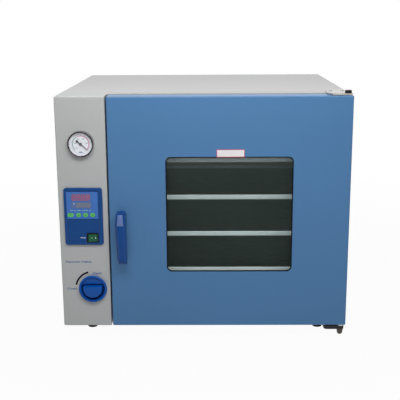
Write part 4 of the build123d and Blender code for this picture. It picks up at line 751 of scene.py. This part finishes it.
# Needle with a round hub and a round tail.
points = [vertex.co for vertex in nodes["gauge_needle"].data.vertices]
tip = max(points, key=lambda point: (point.x - GAUGE[0]) ** 2 + (point.z - GAUGE[1]) ** 2)
aim = math.atan2(tip.z - GAUGE[1], tip.x - GAUGE[0])
NEEDLE_FRONT, NEEDLE_BACK = (1000.0 * y for y in (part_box("gauge_needle")[0][1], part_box("gauge_needle")[1][1]))


def needle_outline(points, y):
    return [
        millimetres(
            GAUGE_MM[0] + a * math.cos(aim) - b * math.sin(aim),
            y,
            GAUGE_MM[1] + a * math.sin(aim) + b * math.cos(aim),
        )
        for a, b in points
    ]


tail = circle_part(0.0, 2.5, 22.0, 338.0, 20)
blade = [(x - 10.0, z) for x, z in tail] + [(19.0, -0.45), (19.0, 0.45)]
hub = [(2.9 * math.cos(2 * math.pi * i / 24), 2.9 * math.sin(2 * math.pi * i / 24)) for i in range(24)]
blade_shape = loft(
    "needle_blade", needle_outline(blade, NEEDLE_FRONT + 1.0), needle_outline(blade, NEEDLE_FRONT + 0.2)
)
hub_shape = loft("needle_hub", needle_outline(hub, NEEDLE_BACK), needle_outline(hub, NEEDLE_FRONT))
moulded("needle_black", blade_shape, ((hub_shape, "UNION"),), 0.05, ink_black, "needle", "gauge_needle")

# Gauge: scale arcs, graduations and numbers on the dial.
SCALE_START, SCALE_END = 225.0, -45.0
SCALE_RADIUS = 0.0180
SCALE_BAND = 0.0014
NUMBER_RADIUS = 0.0128
plates("dial_arc_green", [ring_part(GAUGE, SCALE_RADIUS, SCALE_BAND, 224, 118)], DIAL, ink_green, "cabinet")
plates("dial_arc_pink", [ring_part(GAUGE, SCALE_RADIUS, SCALE_BAND, 112, -45)], DIAL, ink_pink, "cabinet")
ticks = []
for i in range(51):
    angle = SCALE_START + (SCALE_END - SCALE_START) * i / 50
    reach = 0.0036 if i % 10 == 0 else (0.0026 if i % 5 == 0 else 0.0015)
    foot = SCALE_RADIUS + 0.0012
    ticks.append(tick(GAUGE, angle, foot, foot + reach, 0.00045 if i % 10 == 0 else 0.00022))
plates("dial_ticks", ticks, DIAL, ink_black, "cabinet")
for i in range(6):
    angle = math.radians(SCALE_START + (SCALE_END - SCALE_START) * i / 5)
    number = "0" if i == 5 else "-%.2f" % (0.1 - 0.02 * i)
    words(
        "dial_number_%d" % i,
        number,
        GAUGE[0] + NUMBER_RADIUS * math.cos(angle),
        DIAL,
        GAUGE[1] + NUMBER_RADIUS * math.sin(angle),
        0.0019,
        ink_black,
        "cabinet",
    )
words("dial_unit", "MPa", GAUGE[0], DIAL, GAUGE[1] - 0.0183, 0.0026, ink_blue, "cabinet", width=0.0085)
for side, label in ((-1, "left"), (1, "right")):
    screw = rounded(GAUGE[0] + side * 0.0235, GAUGE[1], 0.0016, 0.0016, 0.0008)
    plates("dial_rivet_%s" % label, [screw], DIAL, zinc, "cabinet", thickness=0.0004)


# Controller: display windows, digits, marks and key symbols.
def at(x, z):
    """Body millimetres from the left side and the underside."""
    return LEFT + x / 1000.0, BASE + z / 1000.0


def box_at(x0, x1, z0, z1, radius=0.0008):
    low = at(x0, z0)
    high = at(x1, z1)
    return rounded((low[0] + high[0]) / 2, (low[1] + high[1]) / 2, high[0] - low[0], high[1] - low[1], radius)


WINDOW_THICKNESS = 0.0003
windows = [box_at(29.0, 73.6, 297.2, 314.4), box_at(29.0, 73.6, 280.8, 295.2)]
plates("display_windows", windows, KEYPAD, window_ink, "cabinet", thickness=WINDOW_THICKNESS)
WINDOW_FACE = KEYPAD - WINDOW_THICKNESS

SEGMENTS = {
    "a": ((0, 1), (1, 1)),
    "b": ((1, 1), (1, 0.5)),
    "c": ((1, 0.5), (1, 0)),
    "d": ((0, 0), (1, 0)),
    "e": ((0, 0.5), (0, 0)),
    "f": ((0, 1), (0, 0.5)),
    "g": ((0, 0.5), (1, 0.5)),
}
DIGITS = {"0": "abcdef", "2": "abged", "5": "afgcd", "6": "afgedc", "8": "abcdefg", "9": "abcdfg"}


def digit_outlines(text, x0, x1, z0, z1, bar):
    """Seven-segment figures between two corners; a full stop lights the point before the next figure."""
    figures = [c for c in text if c != "."]
    pitch = (x1 - x0) / len(figures)
    wide, high, lean = pitch * 0.62, z1 - z0 - bar, 0.10
    outlines = []
    index = -1
    for character in text:
        if character == ".":
            px = x0 + pitch * (index + 0.93)
            dot = ((-0.9, 0), (0.9, 0), (0.9, 1.6), (-0.9, 1.6))
            outlines.append([at(px + dx, z0 + dz) for dx, dz in dot])
            continue
        index += 1
        left = x0 + pitch * index + pitch * 0.14
        for segment in DIGITS[character]:
            (ax, az), (bx, bz) = SEGMENTS[segment]
            start = Vector((left + ax * wide + lean * az * high, z0 + bar / 2 + az * high))
            end = Vector((left + bx * wide + lean * bz * high, z0 + bar / 2 + bz * high))
            along = (end - start).normalized()
            across = Vector((-along.y, along.x)) * bar / 2
            start, end = start + along * bar * 0.15, end - along * bar * 0.15
            tip = along * bar / 2
            upper = (start + tip + across, end - tip + across)
            lower = (end - tip - across, start + tip - across)
            outlines.append([at(p.x, p.y) for p in (start, *upper, end, *lower)])
    return outlines


upper_figures = digit_outlines("88.8.8", 30.2, 72.6, 298.8, 312.9, 2.3)
plates("digits_upper", upper_figures, WINDOW_FACE, red_light, "cabinet")
lower_figures = digit_outlines("8888", 41.0, 73.0, 282.4, 293.8, 1.7)
plates("digits_lower", lower_figures, WINDOW_FACE, amber_light, "cabinet")
panel_words = (("RUN", 30.5), ("AT", 38.0), ("HEAT", 46.5), ("ALM", 56.5), ("SET", 64.0), ("PV", 71.5))
# The panel words get the painted glow.
for index, (text, x) in enumerate(panel_words):
    place = at(x, 276.2)
    words("mark_%d" % index, text, place[0], KEYPAD, place[1], 0.0021, marks_painted_glow, "cabinet")
place = at(35.4, 291.5)
words("mark_set", "SV", place[0], WINDOW_FACE, place[1], 0.0026, ink_white, "cabinet")

key_middles = [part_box("key_%d" % (i + 1)) for i in range(4)]
key_middles = [((low[0] + high[0]) / 2, (low[2] + high[2]) / 2) for low, high in key_middles]
key_ink = finish("key_ink", colour(28, 96, 60), 0.5, 0.0, 0.1, 200.0)
words("key_symbol_1", "SET", key_middles[0][0], KEY_FACE, key_middles[0][1], 0.0028, key_ink, "key_body_1")
for number, angle in ((2, 180), (3, -90), (4, 90)):
    middle = key_middles[number - 1]
    points = []
    for i in range(3):
        a = math.radians(angle + 120 * i)
        points.append((middle[0] + 0.0024 * math.cos(a), middle[1] + 0.0024 * math.sin(a)))
    plates("key_symbol_%d" % number, [points], KEY_FACE, key_ink, "key_body_%d" % number)

place = at(53.0, 212.3)
words("mark_power", "POWER", place[0], CONTROL_FLOOR, place[1], 0.0024, ink_white, "cabinet", width=0.0115)

# Valve: heading, the two end words and the arc between them.
place = at(39.2, 154.6)
words("mark_valve", "Vacuum Valve", place[0], FRONT, place[1], 0.0046, ink_blue, "cabinet", width=0.0600)
place = at(81.3, 127.2)
words("mark_open", "Open", place[0], FRONT, place[1], 0.0044, ink_blue, "cabinet", angle=4, width=0.0200)
place = at(22.0, 90.2)
words("mark_closed", "Closed", place[0], FRONT, place[1], 0.0042, ink_blue, "cabinet", angle=-2, width=0.0215)
plates("valve_arc", [ring_part(KNOB, 0.0395, 0.0042, 168, 105, 28)], FRONT, ink_black, "cabinet")

# Rocker marks: an I and an O that follow its tilted faces.
rocker_low, rocker_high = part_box("rocker")
rocker_z = (rocker_low[2] + rocker_high[2]) / 2
rocker_width = rocker_high[0] - rocker_low[0]
mark_x = rocker_low[0] + 0.79 * rocker_width
bar = rounded(mark_x, rocker_z, 0.0013, 0.0044, 0.0003)
printed_on("rocker_mark_on", [bar], "rocker", ink_white, "power_rocker")
mark_x = rocker_low[0] + 0.40 * rocker_width
circle = ring_part((mark_x, rocker_z), 0.0016, 0.0007, 0, 360, 32)
# Painted shade: the O takes the dimmed copy of the white ink, the I the full white.
printed_on("rocker_mark_off", [circle], "rocker", ink_white_dimmed, "power_rocker")

# Blank plate above the window.
low, high = at(354.9, 394.4), at(412.9, 411.6)
plate_x, plate_z = (low[0] + high[0]) / 2, (low[1] + high[1]) / 2
label_edge = finish("label_edge", colour(205, 88, 118), 0.4, 0.0, 0.05, 60.0)
LABEL_THICKNESS = 0.00012
rim = rounded(plate_x, plate_z, 0.0618, 0.0172, 0.0010)
plates("label_rim", [rim], FRONT, label_edge, "door", thickness=LABEL_THICKNESS)
blank = rounded(plate_x, plate_z, 0.0590, 0.0144, 0.0006)
plates("label_face", [blank], FRONT - LABEL_THICKNESS, label_white, "door")

# ---- Stage ----
floor_mesh = bpy.data.meshes.new("floor")
work = bmesh.new()
bmesh.ops.create_grid(work, x_segments=8, y_segments=8, size=9.0)
work.to_mesh(floor_mesh)
work.free()
floor = bpy.data.objects.new("floor", floor_mesh)
bpy.context.scene.collection.objects.link(floor)

floor_material, tree, bsdf = new_material("floor_pale")
bsdf.inputs["Roughness"].default_value = 0.9
bsdf.inputs["Specular IOR Level"].default_value = 0.1
shade = ranged(tree, noise(tree, 1.5), 0.0, 1.0)
link(tree, blended(tree, shade, (0.54, 0.54, 0.54, 1), (0.58, 0.58, 0.58, 1)), bsdf.inputs["Base Color"])
floor_mesh.materials.append(floor_material)


def maximum(tree, first, second):
    node = tree.nodes.new("ShaderNodeMath")
    node.operation = "MAXIMUM"
    link(tree, first, node.inputs[0])
    link(tree, second, node.inputs[1])
    return node.outputs["Value"]


def seen_directly(tree, amount):
    """Value that is amount for camera, glossy and transmission rays, and 0 for the rest."""
    path = tree.nodes.new("ShaderNodeLightPath")
    value = path.outputs["Is Camera Ray"]
    for name in ("Is Glossy Ray", "Is Transmission Ray"):
        value = maximum(tree, value, path.outputs[name])
    node = tree.nodes.new("ShaderNodeMath")
    node.operation = "MULTIPLY"
    node.inputs[1].default_value = amount
    link(tree, value, node.inputs[0])
    return node.outputs["Value"]


glow = tree.nodes.new("ShaderNodeEmission")
glow.inputs["Color"].default_value = (1, 1, 1, 1)
mix = tree.nodes.new("ShaderNodeMixShader")
place = tree.nodes.new("ShaderNodeTexCoord")
distance = tree.nodes.new("ShaderNodeVectorMath")
distance.operation = "LENGTH"
link(tree, place.outputs["Object"], distance.inputs[0])
fade = ranged(tree, distance.outputs["Value"], 0.96, 1.0, 0.6, 1.8)
node = tree.nodes.new("ShaderNodeMath")
node.operation = "MULTIPLY"
link(tree, seen_directly(tree, 1.0), node.inputs[0])
link(tree, fade, node.inputs[1])
link(tree, node.outputs["Value"], mix.inputs["Fac"])
link(tree, bsdf.outputs["BSDF"], mix.inputs[1])
link(tree, glow.outputs["Emission"], mix.inputs[2])
link(tree, mix.outputs["Shader"], tree.nodes["Material Output"].inputs["Surface"])

world = bpy.data.worlds.new("studio")
bpy.context.scene.world = world
world.use_nodes = True
tree = world.node_tree
background = tree.nodes["Background"]
background.inputs["Color"].default_value = (1, 1, 1, 1)
AMBIENT = 0.15
DARK_SIDE = 0.15  # the unlit room in front of the object, as metal and gloss show it


def mixed_value(tree, factor, first, second):
    node = tree.nodes.new("ShaderNodeMix")
    for socket, value in ((node.inputs[2], first), (node.inputs[3], second)):
        if isinstance(value, float):
            socket.default_value = value
        else:
            link(tree, value, socket)
    link(tree, factor, node.inputs["Factor"])
    return node.outputs[0]


path = tree.nodes.new("ShaderNodeLightPath")
direction = tree.nodes.new("ShaderNodeTexCoord")
parts = tree.nodes.new("ShaderNodeSeparateXYZ")
link(tree, direction.outputs["Generated"], parts.inputs["Vector"])
room = ranged(tree, parts.outputs["Y"], DARK_SIDE, 1.0, -0.75, 0.35)
seen = maximum(tree, path.outputs["Is Camera Ray"], path.outputs["Is Transmission Ray"])
strength = mixed_value(tree, path.outputs["Is Glossy Ray"], AMBIENT, room)
strength = mixed_value(tree, seen, strength, 1.0)
link(tree, strength, background.inputs["Strength"])


def softbox(name, place, aim, width, height, power):
    light = bpy.data.lights.new(name, "AREA")
    light.shape = "RECTANGLE"
    light.size = width
    light.size_y = height
    light.energy = power
    lamp = bpy.data.objects.new(name, light)
    bpy.context.scene.collection.objects.link(lamp)
    lamp.location = place
    lamp.rotation_euler = (Vector(aim) - Vector(place)).to_track_quat("-Z", "Y").to_euler()


softbox("key", (0.05, -1.05, 1.14), (0.05, -0.25, 0.54), 1.1, 0.4, 9.5)
softbox("front", (0.10, -1.90, 0.80), (0.05, 0.10, 0.34), 0.6, 0.3, 3.0)
softbox("overhead", (0.0, 0.2, 2.2), (0.0, 0.2, 0.5), 2.0, 1.4, 17.5)

# ---- Camera ----
camera_data = bpy.data.cameras.new("camera")
camera_data.sensor_width = 36.0
camera_data.lens = 71.56
camera_data.clip_start = 0.05
camera = bpy.data.objects.new("camera", camera_data)
bpy.context.scene.collection.objects.link(camera)
camera.location = (0.0121, -2.0094, 0.7365)
camera.rotation_euler = [math.radians(a) for a in (76.582, 0.324, 0.621)]
bpy.context.scene.camera = camera

bpy.context.scene.view_settings.view_transform = "Standard"
